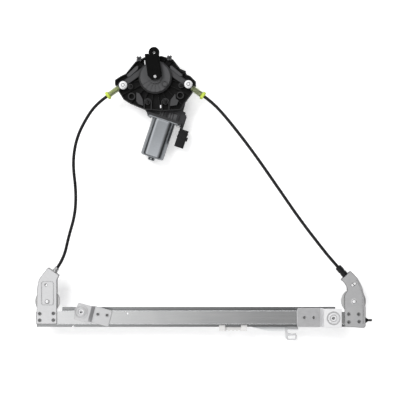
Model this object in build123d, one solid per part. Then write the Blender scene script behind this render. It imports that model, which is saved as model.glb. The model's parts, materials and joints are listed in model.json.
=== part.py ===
"""Cable-driven window regulator: one guide rail, a sliding carriage, two turning pulleys,
two conduits and a cable drum turned by a worm gear motor.

Millimetres. +X runs along the rail, +Y from the rail to the motor, +Z to the front, the side
that is bolted to the door. The origin is the thread of the right mounting pad, at the pad's
front face, so z = 0 is the plane in which the regulator is bolted down.
"""
from build123d import *
from math import atan2, cos, degrees, hypot, pi, radians, sin, tan
import os

os.makedirs("parts", exist_ok=True)

# Clearances
RUNNING = 0.08       # radial gap of a shaft in its bore
SLIDING = 0.35       # gap between pieces that slide or turn past each other
OPEN_GAP = 1.0       # room round a rim or under a plate that nothing guides
OVER = 1.0           # how far a cut runs past the face that it leaves by

# Sheet metal
PLATE_T = 1.5        # rail and end brackets
STRAP_T = 2.0        # mounting brackets and lift plate
PLATE_CORNER = 1.6   # outline corners of an end bracket
CLINCH_R = 2.6       # dents that join one sheet to another

# Lift cable and pulleys
WIRE_R = 0.75
CONDUIT_R = 2.8
PULLEY_CABLE_R = 19.5
PULLEY_RIM = 2.0     # rim above the cable's middle
PULLEY_R = PULLEY_CABLE_R + PULLEY_RIM
PULLEY_W = 6.0
PULLEY_WEB = 2.4
PULLEY_WALL = 3.0    # hub and rim walls beside the web
PULLEY_WINDOWS = 5
PULLEY_WINDOW_R = 2.6
PULLEY_PIN_R = 4.0
PULLEY_NECK_R = 3.0  # pin where it is riveted in the bracket
RIVET_HEAD_R = 5.0
RIVET_FLANGE_R = 6.5
RIVET_HEAD_T = 1.2
LEFT_PULLEY_X = -499.3
RIGHT_PULLEY_X = 37.5

# Guide rail, a hat section with its closed side to the front
WEB_HALF = 11.75
LIP_W = 4.95         # flat lip outside each wall
WALL_DRAFT = 0.8     # how far each side wall leans out
RAIL_HALF = WEB_HALF + WALL_DRAFT + LIP_W
RAIL_BEND = 1.8
RAIL_PAST_LEFT = 19.7    # rail beyond each pulley's axis
RAIL_PAST_RIGHT = 17.5
RAIL_LEFT = LEFT_PULLEY_X - RAIL_PAST_LEFT
RAIL_RIGHT = RIGHT_PULLEY_X + RAIL_PAST_RIGHT
LEFT_LIP_GAP = 3.8       # pulley's rim to the end of the rail's upper lip
RIGHT_LIP_GAP = 10.0
TOP_LIP_FROM = LEFT_PULLEY_X + PULLEY_R + LEFT_LIP_GAP
TOP_LIP_TO = RIGHT_PULLEY_X - PULLEY_R - RIGHT_LIP_GAP
END_WEB_TOP = WEB_HALF - PLATE_T - 0.25      # web's edge where the top lip is cut away
NOTCH = 3.0          # half width of the notch in the lower lip
NOTCH_IN = 44.3      # places along the rail from the left pulley's axis
GAUGE_IN = 140.3
NOTCH_X = LEFT_PULLEY_X + NOTCH_IN
GAUGE_HOLE_R = 1.5
GAUGE_HOLE = (LEFT_PULLEY_X + GAUGE_IN, 7.0)
TOOLING_HOLE_R = 2.6
TOOLING_HOLE_Y = -4.0

# Levels, from the mounting plane down
PAD_RISE = 12.0      # mounting plane above the rail's web
RAIL_DEPTH = 10.0    # web front to lip back
WEB_FRONT = -PAD_RISE
WEB_BACK = WEB_FRONT - PLATE_T
LIP_BACK = WEB_FRONT - RAIL_DEPTH
LIP_FRONT = LIP_BACK + PLATE_T
PLATE_FRONT = WEB_FRONT + PLATE_T
CABLE_Z = WEB_BACK - 0.5 - PULLEY_W / 2
RAIL_CABLE_Y = WEB_HALF - PLATE_T - 1.55     # the cable runs beside the channel's upper wall
PULLEY_Y = RAIL_CABLE_Y + PULLEY_CABLE_R
BRACKET_WALL_TO = LIP_BACK + OPEN_GAP        # edge of each bracket's turned wall

# End brackets: outlines from the pulley's axis in x and from the rail's middle in y. Each
# starts at its cable entry, with the entry's half widths to either side of the cable.
LEFT_ENTRY = -124.8  # direction in which the cable enters, degrees
RIGHT_ENTRY = -48.3
LEFT_SEAT = 49.7     # bracket's edge to the point where the cable meets the pulley
RIGHT_SEAT = 43.5
LEFT_ENTRY_HALF = (13.1, 10.6)
RIGHT_ENTRY_HALF = (11.5, 11.6)
LEFT_BRACKET = [
    (17.2, 66.2), (17.2, -11.4), (-19.7, -11.4), (-18.0, 21.2), (-17.5, 50.2), (-14.5, 66.2), (-8.0, 75.2),
]
END_WALL = 20.2      # outer face of the right bracket's end wall
RIGHT_BRACKET = [
    (6.1, 68.8), (14.0, 54.2), (17.3, 39.9), (END_WALL, 16.2), (END_WALL, -14.7), (17.3, -18.0),
    (-16.6, -16.0), (-16.6, 38.7), (-11.7, 46.5), (-11.7, 52.2), (-15.8, 59.8),
]
LEFT_CLINCHES = [(-12.8, 6.8), (11.2, 7.3), (-12.8, -4.7), (11.0, -4.5)]
RIGHT_CLINCHES = [(-9.3, 6.1), (8.0, 5.8), (-8.9, -7.9), (8.9, -7.0)]
LEFT_HOLE = (-1.7, 57.2)
LEFT_HOLE_R = 2.2
RIGHT_SLOT = (-0.7, 58.0)
RIGHT_SLOT_SIZE = (9.0, 4.4)
RIGHT_SLOT_TURN = 35.0

# Conduit end fittings
NECK_R = 3.6         # where a fitting sits in the bracket's edge
BARB_R = 4.6
BARB_L = 4.0
COLLAR_R = 5.8
SOCKET_L = 8.5       # left fitting, from the bracket's edge to its conduit
SLEEVE_L = 20.0      # right fitting

# Rubber buffer in the right bracket's end wall
BUFFER_Y = -5.3
BUFFER_NECK_R = 2.6
BUFFER_BULB_R = 3.4
BUFFER_HEAD_R = 4.75
BUFFER_TAIL_R = 1.95
BUFFER_L = 12.0

# Mounting brackets, each made along +X with its thread at the origin
MOUNT_BOLT_R = 2.5
NUT_SHANK_R = 4.5
NUT_FLANGE_R = 8.5
NUT_FLANGE_T = 2.6
RING_W = 2.0         # pressed ring round the thread
RING_DEEP = 0.5
MOUNT_RAMP = 5.0
MOUNT_CORNER = 3.0
LEFT_MOUNT_IN = 60.9
LEFT_MOUNT_X = LEFT_PULLEY_X + LEFT_MOUNT_IN
LEFT_MOUNT_Y = 11.0
LEFT_MOUNT_TURN = -14.5
LEFT_PAD = (-9.5, 15.5)
LEFT_FOOT = 51.5
LEFT_MOUNT_HALF = 14.6
LEFT_MOUNT_CLINCHES = [(28.5, 2.0), (44.5, 4.5)]
RIGHT_PAD = (-14.5, 16.5)
RIGHT_FOOT = 62.0
RIGHT_MOUNT_HALF = 16.6
RIGHT_MOUNT_CLINCHES = [(33.0, 0.0), (49.5, 0.0)]

# Cable drum
DRUM_X = -310.0
DRUM_Y = 420.0
DRUM_CABLE_R = 23.0
DRUM_RIM_R = DRUM_CABLE_R + 3.0
DRUM_W = 12.0
DRUM_RIM_T = 1.8
DRUM_BED_R = DRUM_CABLE_R - WIRE_R - SLIDING - 1.6
DRUM_HUB_R = 8.0
DRUM_RECESS = 2.5
DRUM_HOLE_R = 2.6
WINDINGS = 5
DRUM_BACK = CABLE_Z - DRUM_W / 2
DRUM_FRONT = CABLE_Z + DRUM_W / 2
AXLE_R = 3.0
CABLE_ANGLE = 35.5   # how far each cable leaves below the horizontal

# Drum housing. Its outline and places are measured from the drum's axis.
HOUSING_WALL = 2.0
HOUSING_FLOOR = 2.5
HOUSING_BACK = DRUM_BACK - OPEN_GAP
HOUSING_RIM = HOUSING_BACK + 10.0
HOUSING_CORNER = 3.0
HOUSING_OUTLINE = [
    (-71, -12), (-63, -27), (-56, -38), (-44, -45.5), (-19, -56), (12, -58.5), (44, -57), (52, -44),
    (64, -28), (71, -15), (71, -7), (61, 3), (54.5, 5.5), (53, 10.5), (45, 14), (31, 32), (11, 38),
    (-19, 36), (-35, 28), (-52, 7), (-61, 2.5), (-71, -4),
]
CUP_WALL = 2.0
CUP_R = DRUM_RIM_R + OPEN_GAP + CUP_WALL
CUP_TOP = DRUM_FRONT + 4.0 + CUP_WALL
CUP_BEVEL = 3.0
HUB_R = 11.7
HUB_WALL = 3.0
STRAP_BACK = CUP_TOP + 2.0
RIB_T = 1.5
RIBS = 20
DISC_RIB_T = 1.4
DISC_RIB_H = 0.8
DISC_RIBS = 7
DISC_BOSS = (16.5, -12.4)
DISC_BOSS_R = 5.0
TOP_BOSS = (-1.8, 42.0)
TOP_BOSS_R = 8.2
TOP_HOLE_R = 2.6
FIXINGS = [(-56.2, -14.0), (57.9, -12.4)]
FIXING_R = 7.5
FIXING_TOP = CUP_TOP - 3.0
INSERT_R = 5.6
SCREWS = [(-43.6, -16.0), (45.2, -14.0), (-13.5, -43.0), (17.7, -43.0)]
SCREW_R = 2.0
SCREW_HEAD_R = 3.8
SCREW_L = 9.5        # below the housing's back
BOSS_R = 4.5
WELL_R = 6.8         # wall round each lower screw
WELL_T = 1.2
RING_BOSSES = [(-41.7, -32.9), (43.5, -31.0)]
RING_BOSS_R = 6.5
RING_BORE_R = 4.6
CLIP_POSTS = [(-28.4, 32.0), (24.7, 33.6)]
CLIP_POST_R = 3.6
CLIP_SLOT = 1.2

# Cable ducts, ferrules and their springs, along each cable from its drum tangent point
SOCKET_R = 3.2
SEAT_R = 7.0
SEAT_DEEP = 12.0
DUCT_HALF = 5.5
DUCT_CORNER = 2.0
DUCT_FROM = 6.0
SPRING_L = 21.0
SPRING_WIRE_R = 0.7
SPRING_TURNS = 5
SPRING_R = 5.1       # to the middle of its wire
FERRULE_CORE_R = 4.1
CAP_L = 5.5
CAP_R = 7.25
CAP_BEVEL = 1.2
BOSS_TOP = CABLE_Z + SEAT_R
FIXING_FLOOR = CABLE_Z + SOCKET_R + 1.2

# Bridge cover over the drum
STRAP_OUTLINE = [(-18.2, 39.5), (6.8, 39.0), (12.3, 1.6), (6.5, -4.0), (-7.0, -4.0), (-12.8, 1.6)]
STRAP_CORNER = 2.0
COVER_THICK = 6.0
COVER_BOSS_R = 9.4
COVER_EDGE = 0.8

# Worm gear
MODULE = 1.25
TEETH = 50
WORM_R = 5.65
WORM_TURNS = 6
ADDENDUM = 0.85 * MODULE
WORM_DEDENDUM = 1.15 * MODULE
WHEEL_DEDENDUM = 1.25 * MODULE
TOOTH_ROOT_HALF = 0.92 * MODULE
TOOTH_TIP_HALF = 0.336 * MODULE
LEAN = 18.4          # the motor's end leans to the left, degrees
THREAD_ROOT_HALF = 0.88 * MODULE
THREAD_TIP_HALF = 0.304 * MODULE
WHEEL_W = 8.0
WHEEL_R = MODULE * TEETH / 2
CENTRE_DISTANCE = WHEEL_R + WORM_R
LID_T = 1.6          # lid between the gearbox and the drum housing
LID_BACK = HOUSING_BACK - LID_T
WORM_Z = LID_BACK - 7.4
WHEEL_FRONT = WORM_Z + WHEEL_W / 2
WHEEL_BACK = WORM_Z - WHEEL_W / 2
WHEEL_FLOOR = WORM_Z - WORM_R - MODULE - 1.6

# Rubber damper in the wheel and the dog that drives through it
POCKET_IN = 11.0
POCKET_OUT = 25.0
POCKET_DEEP = 5.0
DOG_T = 1.5
DOG_BOSS_R = 7.5
DOG_BOSS_TOP = DRUM_BACK + 4.0
DOG_ARM = (13.0, 22.0)
DOG_ARM_HALF = 3.0
DOG_ARMS = 3

# Motor: flange, can and what turns in it, measured along the worm's axis
CAN_R = 21.0
CAN_HALF = 16.5
CAN_WALL = 1.5
CAN_L = 64.5
CAN_CORNER = 3.0     # rounds the can's long edges
CAN_SHOULDER = 2.0
CAN_STEP = 2.5
CAN_STEP_IN = 4.0
END_BOSS_R = 6.3
END_BOSS_L = 8.0
END_BUSH_R = 4.8
END_BUSH_L = 5.0
SHAFT_R = 2.5
FLANGE_T = 64.0      # gearbox face that takes the motor
FLANGE_PLATE = 2.4
FLANGE_CORNER = 6.0
FLANGE_HALF_W = CAN_HALF - 1.5
FLANGE_SCREW = CAN_R + 6.0
FLANGE_HALF = FLANGE_SCREW + SCREW_HEAD_R
FLANGE_THREAD = 4.0
MAGNET_T = 4.5
CORE_R = CAN_R - CAN_WALL - MAGNET_T - 2.5
CORE_IN = 12.0       # from the can's open end to the core
CORE_PAST = 20.5     # from the core to the can's closed end
CORE_L = CAN_L - CORE_IN - CORE_PAST
CORE_SLOTS = 10
WINDING_L = 7.0
WINDING_R = CORE_R - 0.9
COMMUTATOR_R = 6.0
BRUSH_L = 9.0
BRUSH_SIZE = (5.0, 6.0)
CARD_FROM = 47.0
CARD_HALF = 17.0
CARD_DEEP = 15.0
CARD_T = 2.0
CARD_Y = -1.5
CAN_FROM = FLANGE_T + FLANGE_PLATE
CAN_TO = CAN_FROM + CAN_L
CORE_FROM = CAN_FROM + CORE_IN
CORE_TO = CORE_FROM + CORE_L

# Gearbox
GEARBOX_WALL = 2.5
GEARBOX_R = WHEEL_R + MODULE + 1.2
TUNNEL_R = WORM_R + ADDENDUM + 0.6
TUNNEL_WALL = 2.2
BEARING_R = 5.0
FRONT_BUSH = (-27.0, -20.5)
MIDDLE_BUSH = (38.0, 45.0)
CASE_SIDE = 7.0      # brush case, its middle to the right of the worm
CASE_W = 56.0
CASE_DEEP = 21.0
WEB_T = 3.0
WEB_DEEP = 10.0
SKIRT_DEEP = 7.0     # shelf that fills in from the drum housing's lower edge to the motor
SKIRT_CORNER = 1.0
SKIRT_OUTLINE = [
    (-30, -46), (-19.5, -54.5), (-15.2, -60.7), (-15.4, -66), (47.3, -88), (52.9, -60.2),
    (48.5, -57.8), (52.6, -42.5), (36, -36),
]

# Plug connector beside the motor
PLUG_Y = -2.6
PLUG_FROM = 70.0
PLUG_L = 32.0
PLUG_HALF = 8.2
PLUG_DEEP = 6.5
PLUG_WALL = 1.6
PLUG_CORNER = 2.0
PLUG_MOUTH = 15.0
PLUG_RIBS = (5.0, 13.0)
PLUG_RIB = 0.8
PLUG_LATCH = (5.0, 7.0)
NECK_W = 5.0
NECK_SIDE = FLANGE_HALF + SLIDING + NECK_W / 2
PLUG_SIDE = FLANGE_HALF + SLIDING + PLUG_HALF
PIN_SIZE = (0.8, 2.8, 9.0)
PIN_SPREAD = 3.0

# Carriage, round the middle of the two holes for the glass channel
CARRIAGE_X = -118.0
SLIDER_L = 49.6
SLIDER_RIGHT = CARRIAGE_X - 30.9
SLIDER_LEFT = SLIDER_RIGHT - SLIDER_L
SLIDER_BACK = LIP_BACK - 5.0
SLIDER_LOW = -RAIL_HALF - 7.4
SLIDER_TOP = RAIL_HALF - 3.5
SHOE_W = 11.0
SHOE_FRONT = CABLE_Z - 1.0
SHOE_GAP = 1.4
GUIDE_PLAY = 0.8
NIPPLE_R = 1.5
NIPPLE_L = 7.0
RIVET_R = 2.4
RIVETS = [(SLIDER_LEFT + 5.5, 0.0), (SLIDER_RIGHT - 5.1, -2.0)]
PAN_BACK = WORM_Z - CAN_HALF
PAN_LEFT = SLIDER_RIGHT + 1.9
PAN_RIGHT = CARRIAGE_X + 29.0
PAN_RAMP = 9.0
PAN_HOLE_PITCH = 22.0
PAN_HOLE_R = 3.2
LIFT_LOW = -11.5
LIFT_TOP = 12.0
LIFT_END = PAN_RIGHT + 10.0
# The arm and the clip: x from the middle of the carriage, y from the middle of the rail
ARM = [(-42, -12.5), (-42, -16), (-25, -18), (-9, -21.7), (6, -25.6), (39, -26), (39, -12.5)]
CLIP_T = 1.5
CLIP_BAR = [(35.2, -14), (40.2, -14), (41.0, -38.7), (37.0, -38.7)]
CLIP_TAB = [(38.0, -18.6), (59.4, -18.6), (59.4, -22.8), (38.0, -22.8)]
CLIP_LOOP = [(39.5, -27.7), (48.2, -30.3), (55.3, -29.6), (57.8, -33.6), (56.2, -41.2), (39.0, -41.2)]
CLIP_HOLE = [(41.8, -33.8), (54.0, -33.4), (53.8, -38.9), (41.6, -39.0)]

# Conduits. Each leaves and enters its fittings on a straight lead. Its route between the leads
# is chosen by eye: how far along the line from lead to lead, and how far to the left of it.
LEAD = 20.0
ARC_SHARE = 0.45     # share of each straight run that its arcs take up
LEFT_ROUTE = [(0.097, -12.9), (0.245, -23.4), (0.404, -20.4), (0.568, -4.2), (0.717, 3.0), (0.862, 0.1)]
RIGHT_ROUTE = [(0.130, 3.4), (0.322, 4.1), (0.535, 1.5), (0.745, -1.6), (0.923, -0.9)]

BASE = (Align.CENTER, Align.CENTER, Align.MIN)


def rod(x, y, z0, z1, r):
    """A round bar along Z."""
    return Pos(x, y, z0) * Cylinder(r, z1 - z0, align=BASE)


def block(x0, x1, y0, y1, z0, z1):
    """A box between its corners."""
    return Pos((x0 + x1) / 2, (y0 + y1) / 2, (z0 + z1) / 2) * Box(x1 - x0, y1 - y0, z1 - z0)


def outline(points, corner=0.0):
    """A flat face with rounded corners."""
    face = make_face(Polyline(*points, close=True))
    return fillet(face.vertices(), corner) if corner else face


def slab(points, z0, z1, corner=0.0):
    return extrude(Pos(0, 0, z0) * outline(points, corner), z1 - z0)


def turned(points):
    """A body of revolution about Z from (radius, z) points."""
    return revolve(Plane.XZ * make_face(Polyline(*points, close=True)), Axis.Z)


def tube(r_in, r_out, z0, z1):
    return turned([(r_in, z0), (r_out, z0), (r_out, z1), (r_in, z1)])


def upright(face, z0, z1):
    """A prism from a face, along Z."""
    return extrude(Pos(0, 0, z0) * face, z1 - z0)


def along(start, direction):
    """Where a piece that is made along +Z goes, when it points in a direction in the XY plane."""
    x_dir = (-direction[1], direction[0], 0)
    return Plane(origin=start, x_dir=x_dir, z_dir=(direction[0], direction[1], 0)).location


def heading(angle):
    return (cos(radians(angle)), sin(radians(angle)))


def step(point, direction, distance):
    """A point some way along a direction."""
    return (point[0] + direction[0] * distance, point[1] + direction[1] * distance)


def swept(path, radius):
    """A round bar along a path."""
    return sweep(Plane(origin=path @ 0, z_dir=path % 0) * Circle(radius), path=path)


# Lines that the cable follows into the end brackets. Each touches its pulley's groove.
LEFT_DIR = heading(LEFT_ENTRY)
RIGHT_DIR = heading(RIGHT_ENTRY)
LEFT_TOUCH = (LEFT_PULLEY_X + PULLEY_CABLE_R * LEFT_DIR[1],
              PULLEY_Y - PULLEY_CABLE_R * LEFT_DIR[0])
RIGHT_TOUCH = (RIGHT_PULLEY_X - PULLEY_CABLE_R * RIGHT_DIR[1],
               PULLEY_Y + PULLEY_CABLE_R * RIGHT_DIR[0])
LEFT_EDGE = step(LEFT_TOUCH, LEFT_DIR, -LEFT_SEAT)
RIGHT_EDGE = step(RIGHT_TOUCH, RIGHT_DIR, -RIGHT_SEAT)

# Lines that the cable follows out of the drum. The ferrules seat just beyond the fixings.
DRUM_LEFT_DIR = (-cos(radians(CABLE_ANGLE)), -sin(radians(CABLE_ANGLE)))
DRUM_RIGHT_DIR = (-DRUM_LEFT_DIR[0], DRUM_LEFT_DIR[1])
DRUM_LEFT_TOUCH = (DRUM_X + DRUM_CABLE_R * DRUM_LEFT_DIR[1], DRUM_Y - DRUM_CABLE_R * DRUM_LEFT_DIR[0])
DRUM_RIGHT_TOUCH = (2 * DRUM_X - DRUM_LEFT_TOUCH[0], DRUM_LEFT_TOUCH[1])
DUCTS = [(DRUM_LEFT_TOUCH, DRUM_LEFT_DIR), (DRUM_RIGHT_TOUCH, DRUM_RIGHT_DIR)]
FIXING_T = ((DRUM_X + FIXINGS[0][0] - DRUM_LEFT_TOUCH[0]) * DRUM_LEFT_DIR[0]
            + (DRUM_Y + FIXINGS[0][1] - DRUM_LEFT_TOUCH[1]) * DRUM_LEFT_DIR[1])
SEAT_T = FIXING_T + INSERT_R + 2.5
CAP_FROM = SEAT_T + SPRING_L
CONDUIT_FROM = CAP_FROM + CAP_L

# The worm's own frame: x to the right of the motor, y to the front, z along it to its end.
WORM_DIR = (-sin(radians(LEAN)), -cos(radians(LEAN)))
WORM_SIDE = (cos(radians(LEAN)), -sin(radians(LEAN)))
WORM_AT = Plane(
    origin=(*step((DRUM_X, DRUM_Y), WORM_SIDE, CENTRE_DISTANCE), WORM_Z),
    x_dir=(*WORM_SIDE, 0),
    z_dir=(*WORM_DIR, 0),
).location
DRUM_AT = Pos(DRUM_X, DRUM_Y, 0)
LEFT_MOUNT = Pos(LEFT_MOUNT_X, LEFT_MOUNT_Y, 0) * Rot(0, 0, LEFT_MOUNT_TURN)
RIGHT_MOUNT = Rot(0, 0, 180)


# Rail and end brackets

def guide_rail():
    foot = WEB_HALF + WALL_DRAFT
    half = [
        (WEB_HALF, WEB_FRONT),
        (foot, LIP_FRONT),
        (RAIL_HALF, LIP_FRONT),
        (RAIL_HALF, LIP_BACK),
        (foot - PLATE_T, LIP_BACK),
        (WEB_HALF - PLATE_T, WEB_BACK),
    ]
    section = outline(half + [(-y, z) for y, z in reversed(half)])
    bends = [v for v in section.vertices() if v.Y > WEB_BACK + PLATE_T / 2]
    rail = extrude(Plane.YZ.offset(RAIL_LEFT) * fillet(bends, RAIL_BEND), RAIL_RIGHT - RAIL_LEFT)
    top = RAIL_HALF + OVER
    low = LIP_BACK - OVER
    rail -= block(RAIL_LEFT - OVER, TOP_LIP_FROM, END_WEB_TOP, top, low, 0)
    rail -= block(TOP_LIP_TO, RAIL_RIGHT + OVER, END_WEB_TOP, top, low, 0)
    notch = [(NOTCH_X - NOTCH, -top), (NOTCH_X + NOTCH, -top), (NOTCH_X, -foot - PLATE_T)]
    rail -= slab(notch, low, LIP_FRONT + OVER)
    rail -= rod(*GAUGE_HOLE, WEB_BACK - OVER, WEB_FRONT + OVER, GAUGE_HOLE_R)
    for x in (LEFT_PULLEY_X, RIGHT_PULLEY_X):
        rail -= rod(x, TOOLING_HOLE_Y, WEB_BACK - OVER, WEB_FRONT + OVER, TOOLING_HOLE_R)
    return rail


def end_bracket(pulley_x, points, edge, direction, clinches):
    """A pressed plate with its edge turned back, open where the rail, pulley and cable pass."""
    face = outline(points, PLATE_CORNER)
    body = upright(face, BRACKET_WALL_TO, PLATE_FRONT)
    body -= upright(offset(face, -PLATE_T, kind=Kind.INTERSECTION), BRACKET_WALL_TO, WEB_FRONT)
    body -= block(pulley_x - RIVET_FLANGE_R * 5, RAIL_RIGHT + OVER, -RAIL_HALF - OVER, RAIL_HALF + OVER,
                  LIP_BACK - OVER, WEB_FRONT)
    opening = CABLE_Z + PULLEY_W / 2 + SLIDING
    body -= rod(pulley_x, PULLEY_Y, BRACKET_WALL_TO - OVER, opening, PULLEY_R + OPEN_GAP)
    body -= rod(pulley_x, PULLEY_Y, WEB_FRONT - OVER, 0, PULLEY_NECK_R)
    entry = Pos(0, 0, -PLATE_T - OVER) * Cylinder(NECK_R, 2 * (PLATE_T + OVER), align=BASE)
    body -= along((*edge, CABLE_Z), direction) * entry
    for x, y in clinches:
        body -= rod(pulley_x + x, y, PLATE_FRONT - PLATE_T / 2, PLATE_FRONT + OVER, CLINCH_R)
    return body


def entry_points(edge, direction, halves):
    """The two ends of the bracket's edge that the cable crosses at a right angle."""
    across = (-direction[1], direction[0])
    return [step(edge, across, -halves[0]), step(edge, across, halves[1])]


def left_end_bracket():
    points = entry_points(LEFT_EDGE, LEFT_DIR, LEFT_ENTRY_HALF)
    points += [(LEFT_PULLEY_X + x, y) for x, y in LEFT_BRACKET]
    body = end_bracket(LEFT_PULLEY_X, points, LEFT_EDGE, LEFT_DIR, LEFT_CLINCHES)
    return body - rod(LEFT_PULLEY_X + LEFT_HOLE[0], LEFT_HOLE[1], WEB_FRONT - OVER, 0, LEFT_HOLE_R)


def right_end_bracket():
    points = entry_points(RIGHT_EDGE, RIGHT_DIR, RIGHT_ENTRY_HALF)
    points += [(RIGHT_PULLEY_X + x, y) for x, y in RIGHT_BRACKET]
    body = end_bracket(RIGHT_PULLEY_X, points, RIGHT_EDGE, RIGHT_DIR, RIGHT_CLINCHES)
    slot = upright(Rot(0, 0, RIGHT_SLOT_TURN) * RectangleRounded(*RIGHT_SLOT_SIZE, 2.0), WEB_FRONT - OVER, 0)
    body -= Pos(RIGHT_PULLEY_X + RIGHT_SLOT[0], RIGHT_SLOT[1], 0) * slot
    plug = Pos(RIGHT_PULLEY_X + END_WALL - PLATE_T - OVER, BUFFER_Y, CABLE_Z) * Rot(0, 90, 0)
    return body - plug * Cylinder(BUFFER_NECK_R, PLATE_T + 2 * OVER, align=BASE)


def end_stop_buffer():
    """The rubber plug pulled through the right bracket's end wall."""
    inner = -PLATE_T - 2.0
    points = [
        (0, inner), (BUFFER_BULB_R, inner), (BUFFER_BULB_R, -PLATE_T), (BUFFER_NECK_R, -PLATE_T),
        (BUFFER_NECK_R, 0), (BUFFER_HEAD_R, 0), (BUFFER_HEAD_R, 1.6), (BUFFER_TAIL_R, 5.5),
        (BUFFER_TAIL_R, BUFFER_L), (0, BUFFER_L),
    ]
    return Pos(RIGHT_PULLEY_X + END_WALL, BUFFER_Y, CABLE_Z) * Rot(0, 90, 0) * turned(points)


def pulley(x):
    """A moulded pulley with a groove for the cable and round windows in its web."""
    half = PULLEY_W / 2
    web = PULLEY_WEB / 2
    groove = PULLEY_CABLE_R - WIRE_R - SLIDING
    bore = PULLEY_PIN_R + RUNNING
    hub = bore + PULLEY_WALL
    rim = groove - PULLEY_WALL
    side = [
        (bore, half), (hub, half), (hub, web), (rim, web), (rim, half), (PULLEY_R, half), (groove, WIRE_R),
    ]
    body = turned(side + [(r, -z) for r, z in reversed(side)])
    window = rod((hub + rim) / 2, 0, -half, half, PULLEY_WINDOW_R)
    body -= [Rot(0, 0, i * 360 / PULLEY_WINDOWS) * window for i in range(PULLEY_WINDOWS)]
    return Pos(x, PULLEY_Y, CABLE_Z) * body


def pulley_rivet(x):
    """The stepped rivet that carries a pulley under its bracket."""
    low = CABLE_Z - PULLEY_W / 2 - SLIDING
    points = [
        (0, PLATE_FRONT + RIVET_HEAD_T), (RIVET_HEAD_R - 1.4, PLATE_FRONT + RIVET_HEAD_T),
        (RIVET_HEAD_R, PLATE_FRONT), (PULLEY_NECK_R, PLATE_FRONT), (PULLEY_NECK_R, WEB_FRONT),
        (PULLEY_PIN_R, WEB_FRONT), (PULLEY_PIN_R, low), (RIVET_FLANGE_R, low),
        (RIVET_FLANGE_R, low - RIVET_HEAD_T), (0, low - RIVET_HEAD_T),
    ]
    return Pos(x, PULLEY_Y, 0) * turned(points)


def end_fitting(edge, direction, outside):
    """A conduit's end fitting: a barb behind the bracket's edge, a neck in it and its outside."""
    bore = WIRE_R + SLIDING
    barb = -PLATE_T - BARB_L
    points = [(bore, barb), (BARB_R, barb), (BARB_R, -PLATE_T), (NECK_R, -PLATE_T), (NECK_R, 0), *outside,
              (bore, outside[-1][1])]
    return along((*edge, CABLE_Z), (-direction[0], -direction[1])) * turned(points)


def left_conduit_socket():
    """The light collar that ends the left conduit in its bracket."""
    ring = COLLAR_R - 0.8
    outside = [(COLLAR_R, 0), (COLLAR_R, SOCKET_L - 5.0), (ring, SOCKET_L - 4.0), (ring, SOCKET_L)]
    return end_fitting(LEFT_EDGE, LEFT_DIR, outside)


def right_conduit_sleeve():
    """The black sleeve that ends the right conduit in its bracket, with its waist."""
    waist = COLLAR_R - 0.6
    outside = [
        (COLLAR_R, 0), (COLLAR_R, SLEEVE_L - 14.0), (waist, SLEEVE_L - 13.2), (waist, SLEEVE_L - 11.0),
        (COLLAR_R, SLEEVE_L - 10.2), (COLLAR_R, SLEEVE_L - 1.5), (COLLAR_R - 1.2, SLEEVE_L),
    ]
    return end_fitting(RIGHT_EDGE, RIGHT_DIR, outside)


# Mounting brackets

def mount_bracket(pad, foot, half, clinches):
    """A strap from its pad down to its foot on the web, with the thread's seat in the pad."""
    base = WEB_FRONT + STRAP_T
    ramp = pad[1] + MOUNT_RAMP
    side = [
        (pad[0], 0), (pad[1], 0), (ramp, base), (foot, base), (foot, WEB_FRONT),
        (ramp - STRAP_T, WEB_FRONT), (pad[1] - STRAP_T / 2, -STRAP_T), (pad[0], -STRAP_T),
    ]
    body = extrude(Plane.XZ.offset(-half) * outline(side), 2 * half)
    body = fillet(body.edges().filter_by(Axis.Z), MOUNT_CORNER)
    body -= upright(Circle(NUT_FLANGE_R + RING_W) - Circle(NUT_FLANGE_R), -RING_DEEP, OVER)
    body -= rod(0, 0, -STRAP_T - OVER, OVER, NUT_SHANK_R)
    for x, y in clinches:
        body -= rod(x, y, base - STRAP_T / 2, base + OVER, CLINCH_R)
    return body


def left_mount_bracket():
    return LEFT_MOUNT * mount_bracket(LEFT_PAD, LEFT_FOOT, LEFT_MOUNT_HALF, LEFT_MOUNT_CLINCHES)


def right_mount_bracket():
    return RIGHT_MOUNT * mount_bracket(RIGHT_PAD, RIGHT_FOOT, RIGHT_MOUNT_HALF, RIGHT_MOUNT_CLINCHES)


def mount_nut():
    """A press nut, its shank level with the pad's front."""
    flange = -STRAP_T - NUT_FLANGE_T
    return turned([
        (MOUNT_BOLT_R, 0), (NUT_SHANK_R, 0), (NUT_SHANK_R, -STRAP_T), (NUT_FLANGE_R, -STRAP_T),
        (NUT_FLANGE_R, flange), (MOUNT_BOLT_R, flange),
    ])


# Drum housing and what is fixed on it

def clip_post(x, y):
    """A split post, for a clip of the door's wiring."""
    low = HOUSING_RIM - OPEN_GAP
    post = rod(0, 0, HOUSING_BACK, BOSS_TOP + 2, CLIP_POST_R)
    post -= block(-CLIP_SLOT / 2, CLIP_SLOT / 2, -CLIP_POST_R, CLIP_POST_R, low, 0)
    post -= block(-CLIP_POST_R, CLIP_POST_R, -CLIP_SLOT / 2, CLIP_SLOT / 2, low, 0)
    return Pos(x, y, 0) * post


def screw_well():
    """The wall round a lower screw, open towards the housing's lower edge."""
    inner = WELL_R - WELL_T
    ring = Circle(WELL_R) + Pos(0, -WELL_R) * Rectangle(2 * WELL_R, 2 * WELL_R)
    room = Circle(inner) + Pos(0, -WELL_R) * Rectangle(2 * inner, 2 * WELL_R + 2 * OVER)
    return upright(ring - room, HOUSING_BACK + OVER, BOSS_TOP - 2)


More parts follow.
